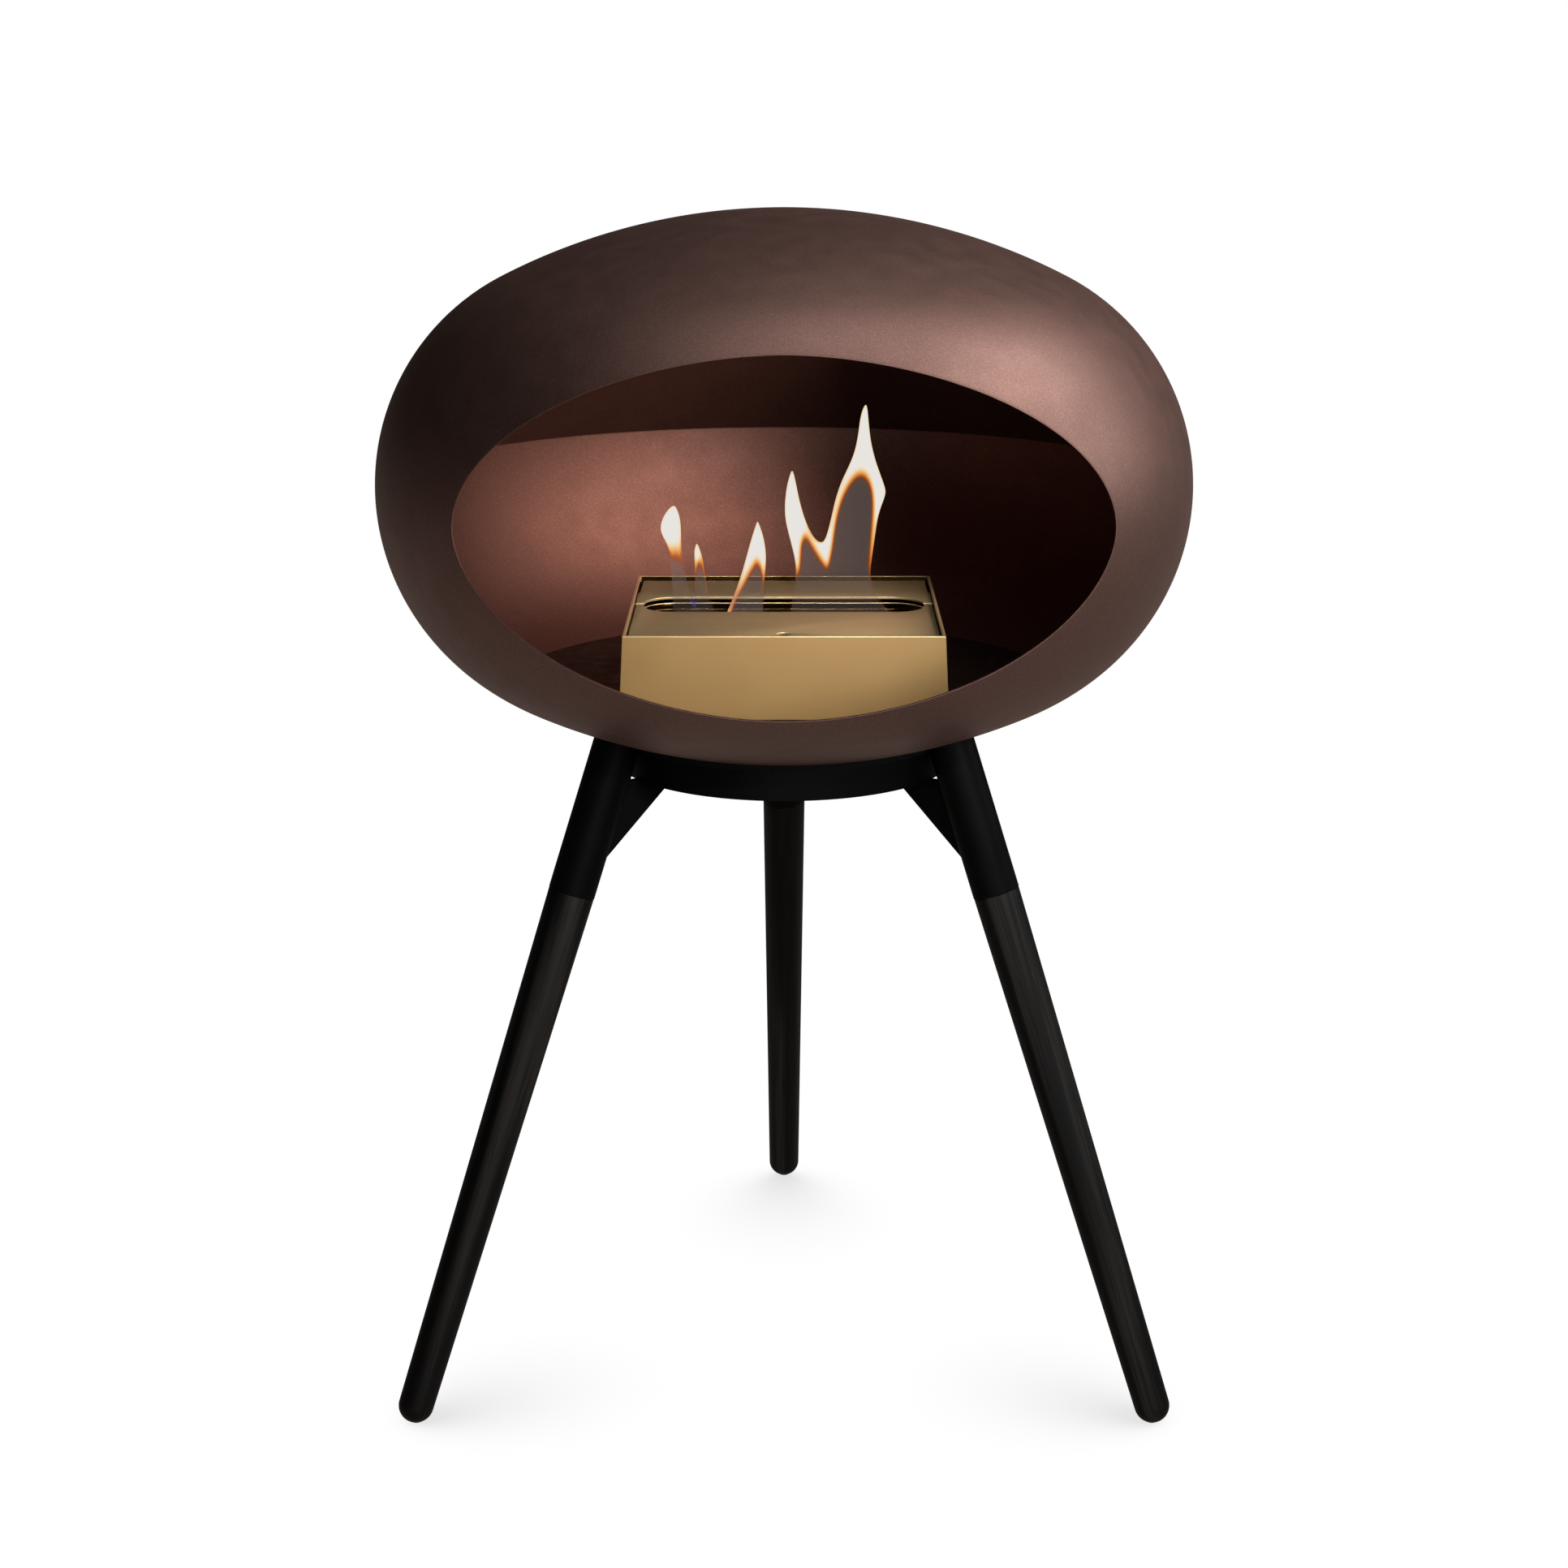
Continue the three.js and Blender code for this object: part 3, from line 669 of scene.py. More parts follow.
def leg_matrix(azimuth):
    """Places a piece made upright about its own axis, with its rounded foot's centre at the origin."""
    foot = Matrix.Translation((FOOT_CIRCLE, 0, FOOT_RADIUS))
    return facing(azimuth) @ foot @ Matrix.Rotation(-LEG_RAKE, 4, "Y")


def wooden_leg(place, azimuth, material):
    """A turned, tapered leg: ball foot, long straight taper, eased edge at the metal joint. Every
    vertex keeps its place on the upright leg, for the grain."""
    bore_radius, bore_depth, ease = 5.4 * MM, 42 * MM, 0.7 * MM
    foot_steps, taper_steps = 12, 30
    profile = [(0, -FOOT_RADIUS)]
    for i in range(1, foot_steps + 1):
        down = (pi / 2) * (1 - i / foot_steps)
        profile.append((FOOT_RADIUS * cos(down), -FOOT_RADIUS * sin(down)))
    for i in range(1, taper_steps):
        t = i / taper_steps
        profile.append((FOOT_RADIUS + (LEG_TOP_RADIUS - FOOT_RADIUS) * t, LEG_TOP * t))
    shoulder = rounded([
        profile[-1], (LEG_TOP_RADIUS, LEG_TOP), (bore_radius, LEG_TOP),
        (bore_radius, LEG_TOP - bore_depth), (0, LEG_TOP - bore_depth)], ease, closed=False)
    matrix = leg_matrix(azimuth)
    piece = turned("leg_" + place, profile[:-1] + shoulder, LEG_SIDES, matrix)
    upright = matrix.inverted()
    grain = piece.data.attributes.new("grain", "FLOAT_VECTOR", "POINT")
    for vertex, value in zip(piece.data.vertices, grain.data):
        vertex.co.z = max(vertex.co.z, FOOT_FLAT_Z)
        value.vector = upright @ vertex.co
    smooth_by_angle(piece, 50)
    dress(piece, "stand", material, ["wooden_leg_" + place])


def leg_socket(place, azimuth, material):
    """The raked tube over a leg, coped to the dome above and to the ring beside it."""
    wall, ease = 2.5 * MM, 0.5 * MM
    pad_gap, dome_gap, leg_gap = 0.3 * MM, 1 * MM, 0.02 * MM
    bore = SOCKET_RADIUS - wall
    bottom = LEG_TOP + leg_gap
    top = (DOME_Z - FOOT_RADIUS) / cos(LEG_RAKE)
    profile = rounded([(bore, bottom), (SOCKET_RADIUS, bottom), (SOCKET_RADIUS, top), (bore, top)], ease)
    piece = turned("socket_" + place, profile, SOCKET_SIDES, leg_matrix(azimuth))
    ring_low, ring_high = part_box("support_ring")
    weld_radius = ring_high.x - WELD
    pad_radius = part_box("ring_pad")[1].x + pad_gap
    ring_tool = turned("ring_tool", [
        (0, ring_low.z), (weld_radius, ring_low.z), (weld_radius, ring_high.z),
        (pad_radius, ring_high.z), (pad_radius, DOME_Z), (0, DOME_Z)],
        DOME_SIDES, ON_AXIS)
    steps = 96
    lean = [pi * i / steps - pi / 2 for i in range(steps + 1)]
    directions = np.array([(cos(a), 0, sin(a)) for a in lean])
    reach = dome_reach(directions, -dome_gap)
    outline = [(d[0] * r, d[2] * r) for d, r in zip(directions, reach)]
    dome_tool = turned("dome_tool", outline, DOME_SIDES, IN_DOME)
    cut_away(piece, dome_tool, ring_tool)
    smooth_by_angle(piece)
    dress(piece, "stand", material, ["leg_socket_" + place])


def gusset(place, azimuth, material):
    """A triangular plate with eased edges, from the socket's inner side to the ring's underside."""
    sheet, apex_z, foot = 5 * MM, 358 * MM, 81 * MM
    corner, ease = 1.2 * MM, 0.5 * MM
    top_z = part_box("support_ring")[0].z + WELD
    reach = (SOCKET_RADIUS - WELD) / cos(LEG_RAKE)

    def beside_socket(z):
        return FOOT_CIRCLE - tan(LEG_RAKE) * (z - FOOT_RADIUS) - reach

    corners = [(beside_socket(apex_z), apex_z), (beside_socket(top_z), top_z), (foot, top_z)]
    upright = facing(azimuth) @ Matrix.Rotation(pi / 2, 4, "X")
    outlines = [rounded(corners, corner)]
    piece = plate("gusset_plate_" + place, outlines, -sheet / 2, sheet / 2, ease, upright)
    dress(piece, "stand", material, ["gusset_" + place])


def small_pad(name, node, body, base_share, material):
    """A round pad. base_share is the radius of its underside as a share of its own."""
    low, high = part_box(node)
    radius, ease = (high.x - low.x) / 2, 0.5 * MM
    profile = [(0, low.z), (base_share * radius, low.z), (radius, high.z), (0, high.z)]
    centre = Matrix.Translation(((low.x + high.x) / 2, (low.y + high.y) / 2, 0))
    piece = turned(name, rounded(profile, ease, closed=False), PAD_SIDES, centre)
    smooth_by_angle(piece)
    dress(piece, body, material, [node])


# ------------------------------ burner

def rounded_box_ring(half_width, half_depth, radius, z, corner_steps=6):
    """One level of a box with rounded vertical edges, about the casing's middle."""
    ring = []
    for turn, (side_x, side_y) in enumerate(((1, 1), (-1, 1), (-1, -1), (1, -1))):
        for step in range(corner_steps + 1):
            angle = (turn + step / corner_steps) * pi / 2
            ring.append((
                side_x * (half_width - radius) + radius * cos(angle),
                CASING_Y + side_y * (half_depth - radius) + radius * sin(angle),
                z))
    return ring


def burner_casing(material):
    """The folded box: leaning sides, a small fold round the base and a thin rim with a painted
    highlight.
    """
    base, rim, wall = CASING_LOW.z, CASING_HIGH.z, 2 * MM
    top_half = Vector((196.5 * MM / 2, 200 * MM / 2))
    base_half = Vector(((CASING_HIGH.x - CASING_LOW.x) / 2, (CASING_HIGH.y - CASING_LOW.y) / 2))
    fold, rim_round, rim_band, least_corner = 0.6 * MM, 0.35 * MM, 0.6 * MM, 0.3 * MM
    # Each pair is a share of the radius in height and a share of it inwards.
    fold_arc = ((0, 1), (0.15, 0.4), (0.5, 0.1), (1, 0))
    rim_arc = ((1, 0), (0.3, 0.3), (0, 1))

    def level(z, inset):
        half = top_half.lerp(base_half, (rim - z) / (rim - base))
        corner = max(fold - inset, least_corner)
        return rounded_box_ring(half.x - inset, half.y - inset, corner, z)

    rings = [[(0, CASING_Y, base)]]
    rings += [level(base + rise * fold, inset * fold) for rise, inset in fold_arc]
    rings += [level(base + 0.5 * (rim - base), 0), level(rim - 2 * rim_round, 0)]
    rings += [level(rim - drop * rim_round, inset * rim_round) for drop, inset in rim_arc]
    rings += [level(rim - drop * rim_round, wall - inset * rim_round) for drop, inset in rim_arc[::-1]]
    rings += [level(base + wall, wall), [(0, CASING_Y, base + wall)]]
    piece = ring_mesh("burner_box", rings)
    smooth_by_angle(piece, 50)
    dress(piece, "burner", material, ["burner_casing"])

    def is_inside(face):
        inwards = face.normal.x * face.center.x + face.normal.y * (face.center.y - CASING_Y) < 0
        return inwards and base + wall < face.center.z < rim - rim_band

    # The band round the rim gets pale brass: a painted highlight.
    refinish(piece, painted_highlight_gold, lambda face: face.center.z > rim - rim_band)
    # The inside gets dark brass: its darkness is painted shade.
    refinish(piece, painted_shade_gold, is_inside)


def slot_arc(side, radius=SLOT_WIDTH / 2):
    """The round end of the slot at x > 0 (side 1) or x < 0 (side -1), from front to back."""
    straight = side * (SLOT_LENGTH - SLOT_WIDTH) / 2
    points = []
    for step in range(SLOT_STEPS + 1):
        angle = pi * step / SLOT_STEPS - pi / 2
        points.append((straight + side * radius * cos(angle), SLOT_Y + radius * sin(angle)))
    return points


def slot_outline(margin=0.0):
    radius = SLOT_WIDTH / 2 + margin
    return slot_arc(1, radius) + slot_arc(-1, radius)[::-1]


def shutter(material):
    """The sliding front plate: front half of the slot in its back edge and a hole for the hook."""
    half, front, back = SHUTTER_HIGH.x, SHUTTER_LOW.y, SHUTTER_HIGH.y
    quarter = SLOT_STEPS // 2 + 1
    notch = slot_arc(1)[:quarter][::-1] + slot_arc(-1)[:quarter]
    outline = [(-half, back), (-half, front), (half, front), (half, back)] + notch
    hook_radius, hook_y, hook_sides = 4.6 * MM, AXIS_Y - 94 * MM, 40
    hole = [(hook_radius * cos(a), hook_y + hook_radius * sin(a))
            for a in (2 * pi * i / hook_sides for i in range(hook_sides))]
    piece = plate("shutter_sheet", [outline, hole], SHUTTER_LOW.z, SHUTTER_HIGH.z, TOP_BEVEL)
    dress(piece, "shutter", material, ["shutter_plate"])
    # Its softened edges get pale brass: a painted highlight.
    refinish(piece, painted_highlight_gold, is_bevel)


def rear_cover(material):
    """The fixed cover: rear half of the slot in its front edge, narrower behind the step."""
    half, front, back = COVER_HIGH.x, COVER_LOW.y, COVER_HIGH.y
    step_y, narrow = AXIS_Y + 31 * MM, COVER_HIGH.x - 1.4 * MM
    quarter = SLOT_STEPS // 2
    notch = slot_arc(-1)[quarter:] + slot_arc(1)[quarter:][::-1]
    outline = [(-half, front)] + notch + [
        (half, front), (half, step_y), (narrow, step_y), (narrow, back),
        (-narrow, back), (-narrow, step_y), (-half, step_y)]
    piece = plate("rear_cover_sheet", [outline], COVER_LOW.z, COVER_HIGH.z, TOP_BEVEL)
    dress(piece, "burner", material, ["rear_cover"])
    # Its softened edges get pale brass: a painted highlight.
    refinish(piece, painted_highlight_gold, is_bevel)


def tank_deck(material):
    """The tank's lid, and the collar round its slot as a second, welded ring."""
    low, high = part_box("tank_deck")
    corner, lid_bevel = 2 * MM, 0.25 * MM
    collar_height, collar_wall, collar_bevel = 4 * MM, 1.5 * MM, 0.35 * MM
    deck_top = high.z - collar_height
    edge = rounded([(low.x, low.y), (high.x, low.y), (high.x, high.y), (low.x, high.y)], corner)
    deck = plate("tank_lid", [edge, slot_outline()], low.z, deck_top, lid_bevel)
    dress(deck, "burner", material, ["tank_deck"])
    outlines = [slot_outline(collar_wall), slot_outline()]
    collar = plate("tank_collar", outlines, deck_top, high.z, collar_bevel)
    dress(collar, "burner", material)
    # The collar's upward faces get pale brass: a painted highlight.
    refinish(collar, painted_highlight_gold, lambda face: face.normal.z > 0.15)


def fuel_absorber(material):
    """A block of ceramic wool with a lumpy top, made of many slow waves, and a worn edge."""
    low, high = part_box("fuel_absorber")
    columns, lines = 90, 78
    lump, wave_count = 1.2 * MM, 14
    worn = {0: 3 * lump, 1: 0.8 * lump}
    rng = np.random.default_rng(7)
    waves = rng.uniform(20, 160, (wave_count, 2))
    phases = rng.uniform(0, 2 * pi, wave_count)
    grid = []
    for i in range(columns + 1):
        grid.append([])
        for j in range(lines + 1):
            x = low.x + (high.x - low.x) * i / columns
            y = low.y + (high.y - low.y) * j / lines
            edge = min(i, columns - i, j, lines - j)
            swell = sum(sin(a * x + b * y + c) for (a, b), c in zip(waves, phases)) / wave_count
            drop = lump * (0.6 - swell) + worn.get(edge, 0)
            grid[-1].append((x, y, high.z - drop))
    bm = open_sheet(grid)
    edges = [e for e in bm.edges if e.is_boundary]
    sides = bmesh.ops.extrude_edge_only(bm, edges=edges)["geom"]
    for vertex in (g for g in sides if isinstance(g, bmesh.types.BMVert)):
        vertex.co.z = low.z
    bmesh.ops.holes_fill(bm, edges=[e for e in bm.edges if e.is_boundary])
    piece = finish_mesh("absorber_block", bm)
    smooth_by_angle(piece, 50)
    dress(piece, "burner", material, ["fuel_absorber"])


# ------------------------------ flames

# Each tongue as seen from the front, in millimetres: x from the middle of the slot and height above
# the cover. "outline" is its edge and "core" the clear vapour inside it, both anticlockwise.
TONGUES = {
    "flame_left": dict(depth=2, cooling=0.8, fade=9, outline=[
        (-72, -8), (-54, -8), (-57.3, -1.6), (-60, 6), (-62.4, 13), (-64, 20), (-65.5, 28), (-66.3, 37),
        (-66.4, 47), (-66.8, 55), (-68.3, 61), (-70.5, 65), (-74, 62.5), (-77.8, 57), (-79.8, 50),
        (-78.6, 45), (-76, 40), (-74, 34), (-73, 28), (-72.4, 17.5), (-72, 5),
    ], core=[
        (-75, -10), (-54, -10), (-58, -2), (-60.8, 6), (-63.2, 13), (-65, 19), (-67, 24.5),
        (-69.5, 26.6), (-72, 25.6), (-75, 25),
    ]),
    "flame_small": dict(depth=-4, cooling=0.8, fade=4.5, outline=[
        (-58, -8), (-43.5, -8), (-45.6, -3), (-48.6, 6), (-50.3, 16), (-51.3, 24), (-52.6, 32),
        (-54.6, 38), (-56.2, 41), (-57.4, 37), (-57.7, 33), (-57.3, 24), (-57.1, 15), (-57.4, 6),
    ], core=[
        (-58, -10), (-44, -10), (-46.3, -3), (-49.4, 6), (-51.3, 15), (-52.6, 21), (-54.4, 26.8),
        (-55.8, 22), (-56.3, 14), (-56.7, 5),
    ]),
    "flame_middle": dict(depth=3, cooling=0.25, fade=5.5, outline=[
        (-37.5, -8), (-13.5, -8), (-13.6, -2), (-13.3, 10), (-12.3, 19), (-11.6, 29), (-12, 37),
        (-13.6, 45), (-15.6, 51), (-17.1, 54.5), (-18.6, 50), (-20.4, 44.5), (-22.8, 36), (-26, 24),
        (-29.3, 13.6), (-32.6, 4.5), (-35.6, -3.4),
    ], core=[
        (-34, -10), (-13.4, -10), (-14.2, 0), (-14.4, 10), (-14.9, 17), (-16, 21.5), (-17.6, 24),
        (-19.4, 21), (-21.8, 17), (-25.4, 9.7), (-29.2, 3), (-32, -3.4),
    ]),
    "flame_twin": dict(depth=0, cooling=0.7, fade=5.5, outline=[
        (5, -8), (69, -8), (65.6, -3.4), (60.3, 3), (57, 11), (55.5, 20), (56.4, 29), (58.1, 42.4),
        (59.7, 55.5), (61.6, 63.4), (64.2, 70.5), (65.2, 75), (63.6, 80.5), (61.2, 87), (58.2, 95.5),
        (55.3, 107.5), (54, 119), (53.3, 127.5), (52.2, 132), (50, 128), (48.4, 121), (47.2, 110.5),
        (45, 100), (41.2, 90.8), (36.8, 81.7), (32.9, 69.9), (30.2, 56.8), (27.8, 46.6), (26, 42),
        (24.1, 40.6), (21.1, 41.8), (17.1, 47.4), (13.2, 56.8), (9.9, 68.6), (7.6, 80.4), (6.4, 86),
        (5.2, 89), (3.6, 85.5), (1.4, 76.4), (0.4, 64.7), (1, 55.5), (3.1, 46.3), (5.4, 37.2),
        (7.1, 29.3), (7.8, 21.5), (7.3, 13.6), (6, 5.8), (5.1, -2),
    ], core=[
        (6.2, -10), (67, -10), (63.6, -3.4), (58.8, 3), (55.9, 11), (53.9, 20), (53.9, 29), (54.7, 42.4),
        (55.5, 55.5), (55.8, 66), (55.1, 74.5), (53.1, 80), (49.9, 83), (45.9, 81.6), (42, 76.4),
        (38.7, 69.9), (36.1, 62), (34.2, 52.9), (32.9, 42.4), (31.5, 32), (29.8, 24), (27.6, 20.6),
        (25, 23), (21.1, 29.3), (16.8, 36.8), (13.8, 42), (12.3, 38.5), (11.9, 32), (11.4, 24),
        (10.2, 18.5), (8.2, 14), (7, 5.8), (6.2, -2),
    ]),
}
# Where the vapour catches, in the same millimetres, and the flames' height as a share of the outlines'.
IGNITION_SPOT = (-58.4, 2.5)
FLAME_SCALE = 0.975


def softened_loop(points, rounds=3):
    """A closed loop with its corners cut off again and again until it is a smooth curve."""
    loop = np.array(points, float)
    for _ in range(rounds):
        following = np.roll(loop, -1, axis=0)
        loop = np.stack([0.75 * loop + 0.25 * following, 0.25 * loop + 0.75 * following], axis=1)
        loop = loop.reshape(-1, 2)
    return loop


def distance_to_loop(points, loop):
    start, side = loop, np.roll(loop, -1, axis=0) - loop
    offset = points[:, None] - start[None]
    share = np.clip((offset * side).sum(2) / (side * side).sum(1), 0, 1)
    return np.linalg.norm(offset - share[:, :, None] * side, axis=2).min(axis=1)


def inside_loop(points, loop):
    """Which points lie inside a closed loop, by counting the edges to their right."""
    x, y = points[:, :1], points[:, 1:]
    start, end = loop, np.roll(loop, -1, axis=0)
    rise = np.where(end[:, 1] == start[:, 1], 1e-9, end[:, 1] - start[:, 1])
    spans = (start[:, 1] > y) != (end[:, 1] > y)
    crossing = start[:, 0] + (y - start[:, 1]) / rise * (end[:, 0] - start[:, 0])
    return (spans & (x < crossing)).sum(axis=1) % 2 == 1


def smoothstep(low, high, value):
    t = np.clip((value - low) / (high - low), 0, 1)
    return t * t * (3 - 2 * t)


def inner_points(outline, spacing):
    """A staggered grid inside an outline, and two rows of points close along its edge."""
    low, high = outline.min(axis=0), outline.max(axis=0)
    line_share, rows, nearest = 0.87, (0.4, 0.9), 0.3
    grid = []
    for line, height in enumerate(np.arange(low[1], high[1], spacing * line_share)):
        columns = np.arange(low[0] + spacing * 0.5 * (line % 2), high[0], spacing)
        grid += [(x, height) for x in columns]
    along = np.roll(outline, -1, axis=0) - np.roll(outline, 1, axis=0)
    inward = unit(np.stack([-along[:, 1], along[:, 0]], axis=1))
    points = np.concatenate([outline + inward * row for row in rows] + [grid])
    points = points[inside_loop(points, outline)]
    return points[distance_to_loop(points, outline) > nearest]


def flame_looks(tongue, plane, outline, core):
    """Warmth, coolness and blue at each point of a tongue. The farther from the core and the edge,
    the warmer; the nearer to the slot, the cooler."""
    core_squash = np.array([1, 0.35])
    core_edge, rim_width = -0.4, 1.8
    cool_height, cool_foot = 26, 2
    spot_size = (1.6, 4.5)
    away = distance_to_loop(plane * core_squash, core * core_squash)
    away[inside_loop(plane, core)] *= -1
    rim = smoothstep(0, rim_width, distance_to_loop(plane, outline))
    warmth = 0.1 + 0.9 * smoothstep(core_edge, tongue["fade"], away) * (0.5 + 0.5 * rim)
    cool = tongue["cooling"] * smoothstep(cool_height, cool_foot, plane[:, 1])
    spot = (plane - IGNITION_SPOT) / spot_size
    blue = np.exp(-(spot**2).sum(axis=1))
    return zip(warmth, cool, blue)


def flame(name, material):
    """One tongue of flame: a closed, lens-shaped body that knows how hot it is at every vertex."""
    tongue = TONGUES[name]
    outline = softened_loop(tongue["outline"])
    core = softened_loop(tongue["core"])
    scattered = np.concatenate([outline, inner_points(outline, spacing=0.9)])
    plane, _, triangles, *_ = mathutils.geometry.delaunay_2d_cdt(
        [Vector(point) for point in scattered], [], [list(range(len(outline)))], 1, 1e-5)
    plane = np.array([tuple(point) for point in plane])
    edge = distance_to_loop(plane, outline)
    rounding, fullness, thinnest = 6, 4.5, 0.05
    half = fullness * np.sqrt(1 - (1 - np.minimum(edge / rounding, 1)) ** 2)
    sway_width, sway_length = 2.5, 21
    sway = tongue["depth"] + sway_width * np.sin(plane[:, 1] / sway_length + outline[0, 0])

    bm = bmesh.new()
    front, back, looks = [], [], []
    for (x, height), depth, bulge, look in zip(
            plane, sway, half, flame_looks(tongue, plane, outline, core)):
        place = Vector((x * MM, SLOT_Y + depth * MM, COVER_HIGH.z + height * FLAME_SCALE * MM))
        front.append(bm.verts.new(place - Vector((0, bulge * MM, 0))))
        looks.append(look)
        if bulge < thinnest:
            back.append(front[-1])
            continue
        back.append(bm.verts.new(place + Vector((0, bulge * MM, 0))))
        looks.append(look)
    for corners in triangles:
        for side in (front, back):
            face = [side[corner] for corner in corners]
            if bm.faces.get(face) is None:
                bm.faces.new(face)
    piece = finish_mesh(name, bm)
    values = piece.data.attributes.new("look", "FLOAT_VECTOR", "POINT").data
    values.foreach_set("vector", np.array(looks, np.float32).ravel())
    dress(piece, "burner", material)
    piece.visible_glossy = False
    piece.visible_diffuse = False
    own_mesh(piece)


# ------------------------------ build

lacquer = dome_lacquer()
paint = chamber_paint()
black = powder_coat()
wood = stained_wood()
gold = satin_brass("satin_brass", "b69159", "ae8a53", 0.25, 0.6)
# A paler, less red copy of the brass for the top plates, set to how light falls on them: painted light.
top_gold_painted_light = satin_brass("satin_brass_top_painted_light", "b3a27a", "ad9c74", 0.35, 0.6)
# Dark brass for the box's inside and the tank's lid: really polished, but its dark colour is painted
# shade.
painted_shade_gold = satin_brass("polished_brass_painted_shade", "6a5230", "5d4729", 1.0, 0.18)
# Pale brass for rims, bevels and the collar's top: a painted highlight.
painted_highlight_gold = satin_brass("brass_painted_highlight", "f6dca4", "edd199", 0.5, 0.35)
steel = brushed_steel()
zinc = zinc_plate()
rubber = black_rubber()
wool = ceramic_wool()
glow = flame_glow()

dome_shell(lacquer)
ceiling_shield(lacquer)
chamber_floor(paint)
support_ring(black)
ring_pad(rubber)
for place, azimuth in LEG_AZIMUTHS.items():
    wooden_leg(place, azimuth, wood)
    leg_socket(place, azimuth, black)
    gusset(place, azimuth, black)
    small_pad("glide_" + place, "foot_glide_" + place, "stand", 0.6, rubber)
burner_casing(gold)
shutter(top_gold_painted_light)
rear_cover(top_gold_painted_light)
# The lid's dark brass is painted shade.
tank_deck(painted_shade_gold)
fuel_absorber(wool)
for place in ("front_left", "front_right", "rear_left", "rear_right"):
    small_pad("box_pad_" + place, "burner_pad_" + place, "burner", 1, rubber)
for name in TONGUES:
    flame(name, glow)

# Hidden parts that keep their own shape and only get a finish.
KEPT_NODES = {"tank_tray": steel, "slide_rail_left": gold, "slide_rail_right": gold}
for place in LEG_AZIMUTHS:
    KEPT_NODES["socket_insert_" + place] = zinc
    KEPT_NODES["leg_stud_" + place] = zinc
for number in (1, 2, 3):
    KEPT_NODES[f"shield_standoff_{number}"] = zinc
for node, material in KEPT_NODES.items():
    kept = frame["nodes"][node]
    kept.data.materials.clear()
    kept.data.materials.append(material)


# ------------------------------ studio

AIM = Vector((0, AXIS_Y, 0.6))


def camera():
    """A long lens straight ahead of the mouth, above the dome's middle and looking down a little."""
    distance, height, tilt = 1.798, 0.8645, 14.77
    data = bpy.data.cameras.new("camera")
    data.lens = 64.7
    data.sensor_width = 36
    view = bpy.data.objects.new("camera", data)
    view.location = (0, AXIS_Y - distance, height)
    view.rotation_euler = (radians(90 - tilt), 0, 0)
    SCENE.collection.objects.link(view)
    SCENE.camera = view


def around(azimuth, elevation, distance):
    """A place round the object: azimuth 0 is in front of the mouth and 90 on the +X side."""
    turn, rise = radians(azimuth), radians(elevation)
    flat = distance * cos(rise)
    return AIM + Vector((flat * sin(turn), -flat * cos(turn), distance * sin(rise)))


def light(name, kind, place, target, power, **settings):
    """A light at a place, turned to a target and out of the camera's sight."""
    data = bpy.data.lights.new(name, kind)
    data.energy = power
    for key, value in settings.items():
        setattr(data, key, value)
    lamp = bpy.data.objects.new(name, data)
    lamp.location = place
    lamp.rotation_euler = (target - place).to_track_quat("-Z", "Y").to_euler()
    lamp.visible_camera = False
    SCENE.collection.objects.link(lamp)


def leg_shade(spots):
    """The share of the light from overhead that each spot on the floor loses to the leaning legs."""
    focus, steps = 26, 60
    shade = np.zeros(len(spots))
    for azimuth in LEG_AZIMUTHS.values():
        matrix = leg_matrix(azimuth)
        for step in range(steps):
            t = (step + 0.5) / steps
            centre = matrix @ Vector((0, 0, LEG_TOP * t))
            width = 2 * (FOOT_RADIUS + (LEG_TOP_RADIUS - FOOT_RADIUS) * t)
            reach = np.sqrt(((spots - centre.xy) ** 2).sum(axis=1) + centre.z**2)
            lobe = (focus + 1) / (2 * pi) * (centre.z / reach) ** focus
            shade += lobe * width * (LEG_TOP / steps) / reach**2
    return 1 - np.exp(-shade)


def pale_floor():
    """A white floor that stays white, with soft shade painted below the legs."""
    shaded, fine_lines, far = 0.45, 181, 6
    least_shade, darkest = 0.06, 0.76
    lines = np.concatenate([[-far], np.linspace(-shaded, shaded, fine_lines), [far]])
    grid = [[(x, y, 0) for y in lines] for x in lines]
    floor = finish_mesh("studio_floor", open_sheet(grid))
    spots = np.array(grid).reshape(-1, 3)[:, :2]
    values = floor.data.attributes.new("shade", "FLOAT", "POINT").data
    values.foreach_set("value", leg_shade(spots).astype(np.float32))
    material = bpy.data.materials.new("studio_floor")
    material.use_nodes = True
    tree = material.node_tree
    tree.nodes.clear()
    shade = add_node(tree, "ShaderNodeAttribute")
    shade.attribute_name = "shade"
    ramp = add_node(tree, "ShaderNodeValToRGB", Fac=shade.outputs["Fac"])
    pale, dark = ramp.color_ramp.elements
    pale.position, dark.position = least_shade, 1
    pale.color, dark.color = grey(1), grey(darkest)
    # The floor glows: the shade below the legs is painted into its colour, not cast by the lamps.
    emission = add_node(tree, "ShaderNodeEmission", Color=ramp.outputs["Color"])
    add_node(tree, "ShaderNodeOutputMaterial", Surface=emission.outputs["Emission"])
    floor.data.materials.append(material)
    floor.visible_glossy = False
    floor.visible_diffuse = False


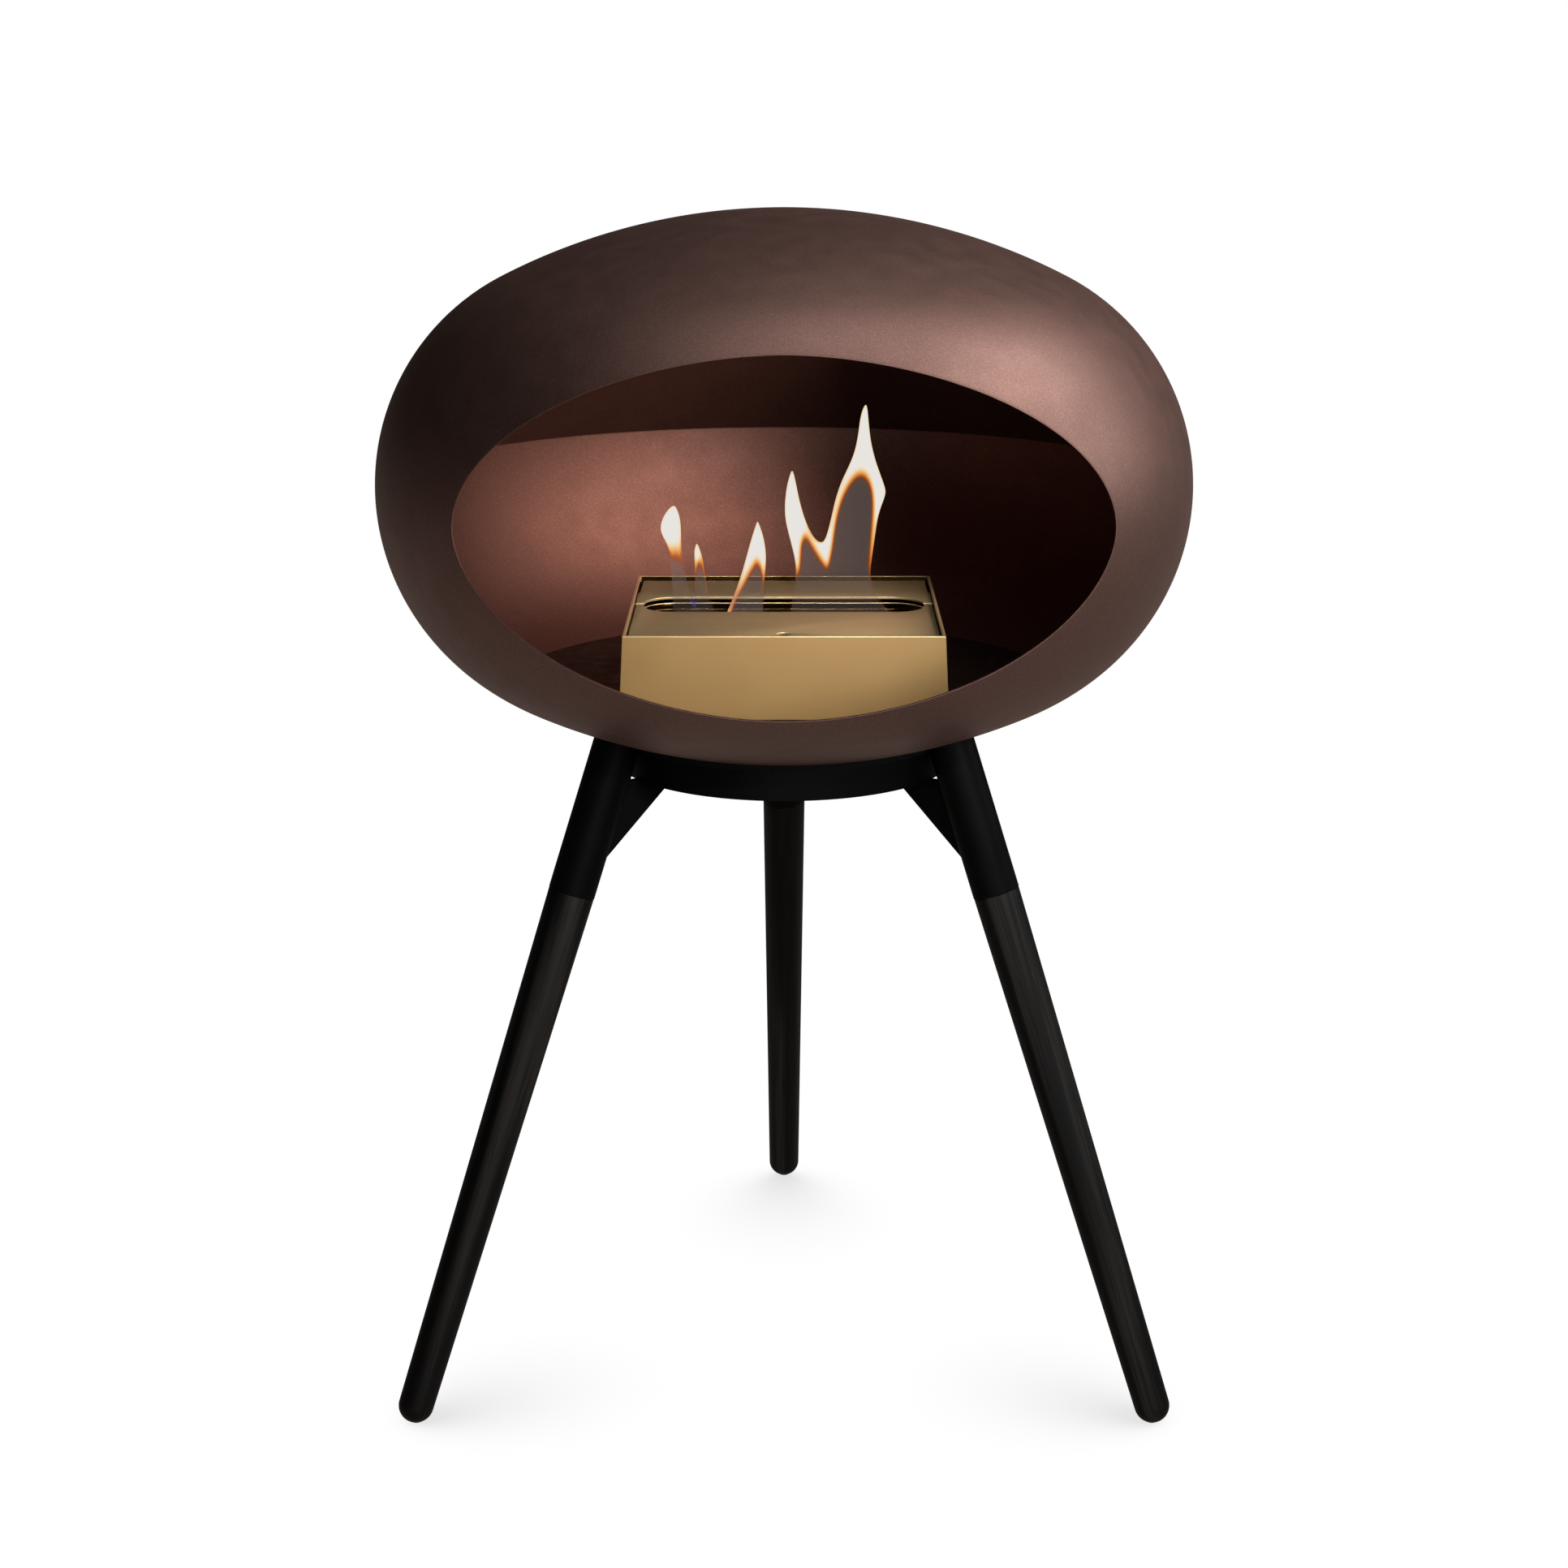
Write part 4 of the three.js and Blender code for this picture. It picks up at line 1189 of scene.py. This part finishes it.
def studio_world():
    """White behind the object. What lights and mirrors in it is dark above and pale below."""
    world = bpy.data.worlds.new("studio")
    SCENE.world = world
    world.use_nodes = True
    tree = world.node_tree
    tree.nodes.clear()
    direction = add_node(tree, "ShaderNodeTexCoord").outputs["Generated"]
    rise = add_node(tree, "ShaderNodeSeparateXYZ", Vector=direction).outputs["Z"]
    below = add_node(
        tree, "ShaderNodeMapRange", Value=rise, From_Min=0.08, From_Max=-0.3, To_Min=0.016, To_Max=0.265)
    warm = (1, 0.86, 0.77, 1)
    lit = add_node(tree, "ShaderNodeBackground", Color=warm, Strength=below.outputs["Result"])
    seen = add_node(tree, "ShaderNodeBackground", Color=grey(1))
    path = add_node(tree, "ShaderNodeLightPath")
    mix = add_node(tree, "ShaderNodeMixShader", Fac=path.outputs["Is Camera Ray"])
    tree.links.new(lit.outputs["Background"], mix.inputs[1])
    tree.links.new(seen.outputs["Background"], mix.inputs[2])
    add_node(tree, "ShaderNodeOutputWorld", Surface=mix.outputs["Shader"])


camera()
pale_floor()
studio_world()

# Soft boxes: name, azimuth, elevation, distance and power.
BOXES = (
    ("right_box_15", 90, 15, 1.8, 8.1),
    ("right_box_45", 90, 45, 1.8, 16.6),
    ("right_box_75", 90, 75, 1.8, 5.5),
    ("front_right_box", 30, 15, 1.8, 20),
    ("top_box", -25, 78, 1.8, 3),
    ("low_front_box", 0, -20, 1.4, 3.5),
)
for name, azimuth, elevation, distance, power in BOXES:
    place = around(azimuth, elevation, distance)
    light(name, "AREA", place, AIM, power, size=0.8)

# Small soft-edged spots for the burner: name, azimuth, elevation, target from AIM, cone and power.
SPOTS = (
    ("front_spot", 6, 22, (0.02, -0.12, -0.18), 17, 26),
    ("top_spot", 0, 30, (-0.02, -0.02, -0.087), 11, 11),
)
for name, azimuth, elevation, target, cone, power in SPOTS:
    place = around(azimuth, elevation, 1.6)
    light(name, "SPOT", place, AIM + Vector(target), power, spot_size=radians(cone), spot_blend=0.9,
          shadow_soft_size=0.03)

# Warm lamps inside the dome: place and target from AIM, power and spread.
LAMPS = (
    ((0.13, -0.08, 0), (-0.25, -0.02, -0.03), 0.22, 125),
    ((0.005, 0.132, 0.054), (-0.135, 0.21, -0.06), 0.09, 115),
)
for place, target, power, spread in LAMPS:
    light("chamber_lamp", "AREA", AIM + Vector(place), AIM + Vector(target), power, shape="RECTANGLE",
          size=0.14, size_y=0.08, color=(1, 0.68, 0.56), spread=radians(spread))

SCENE.view_settings.view_transform = "Standard"
SCENE.cycles.transparent_max_bounces = 24
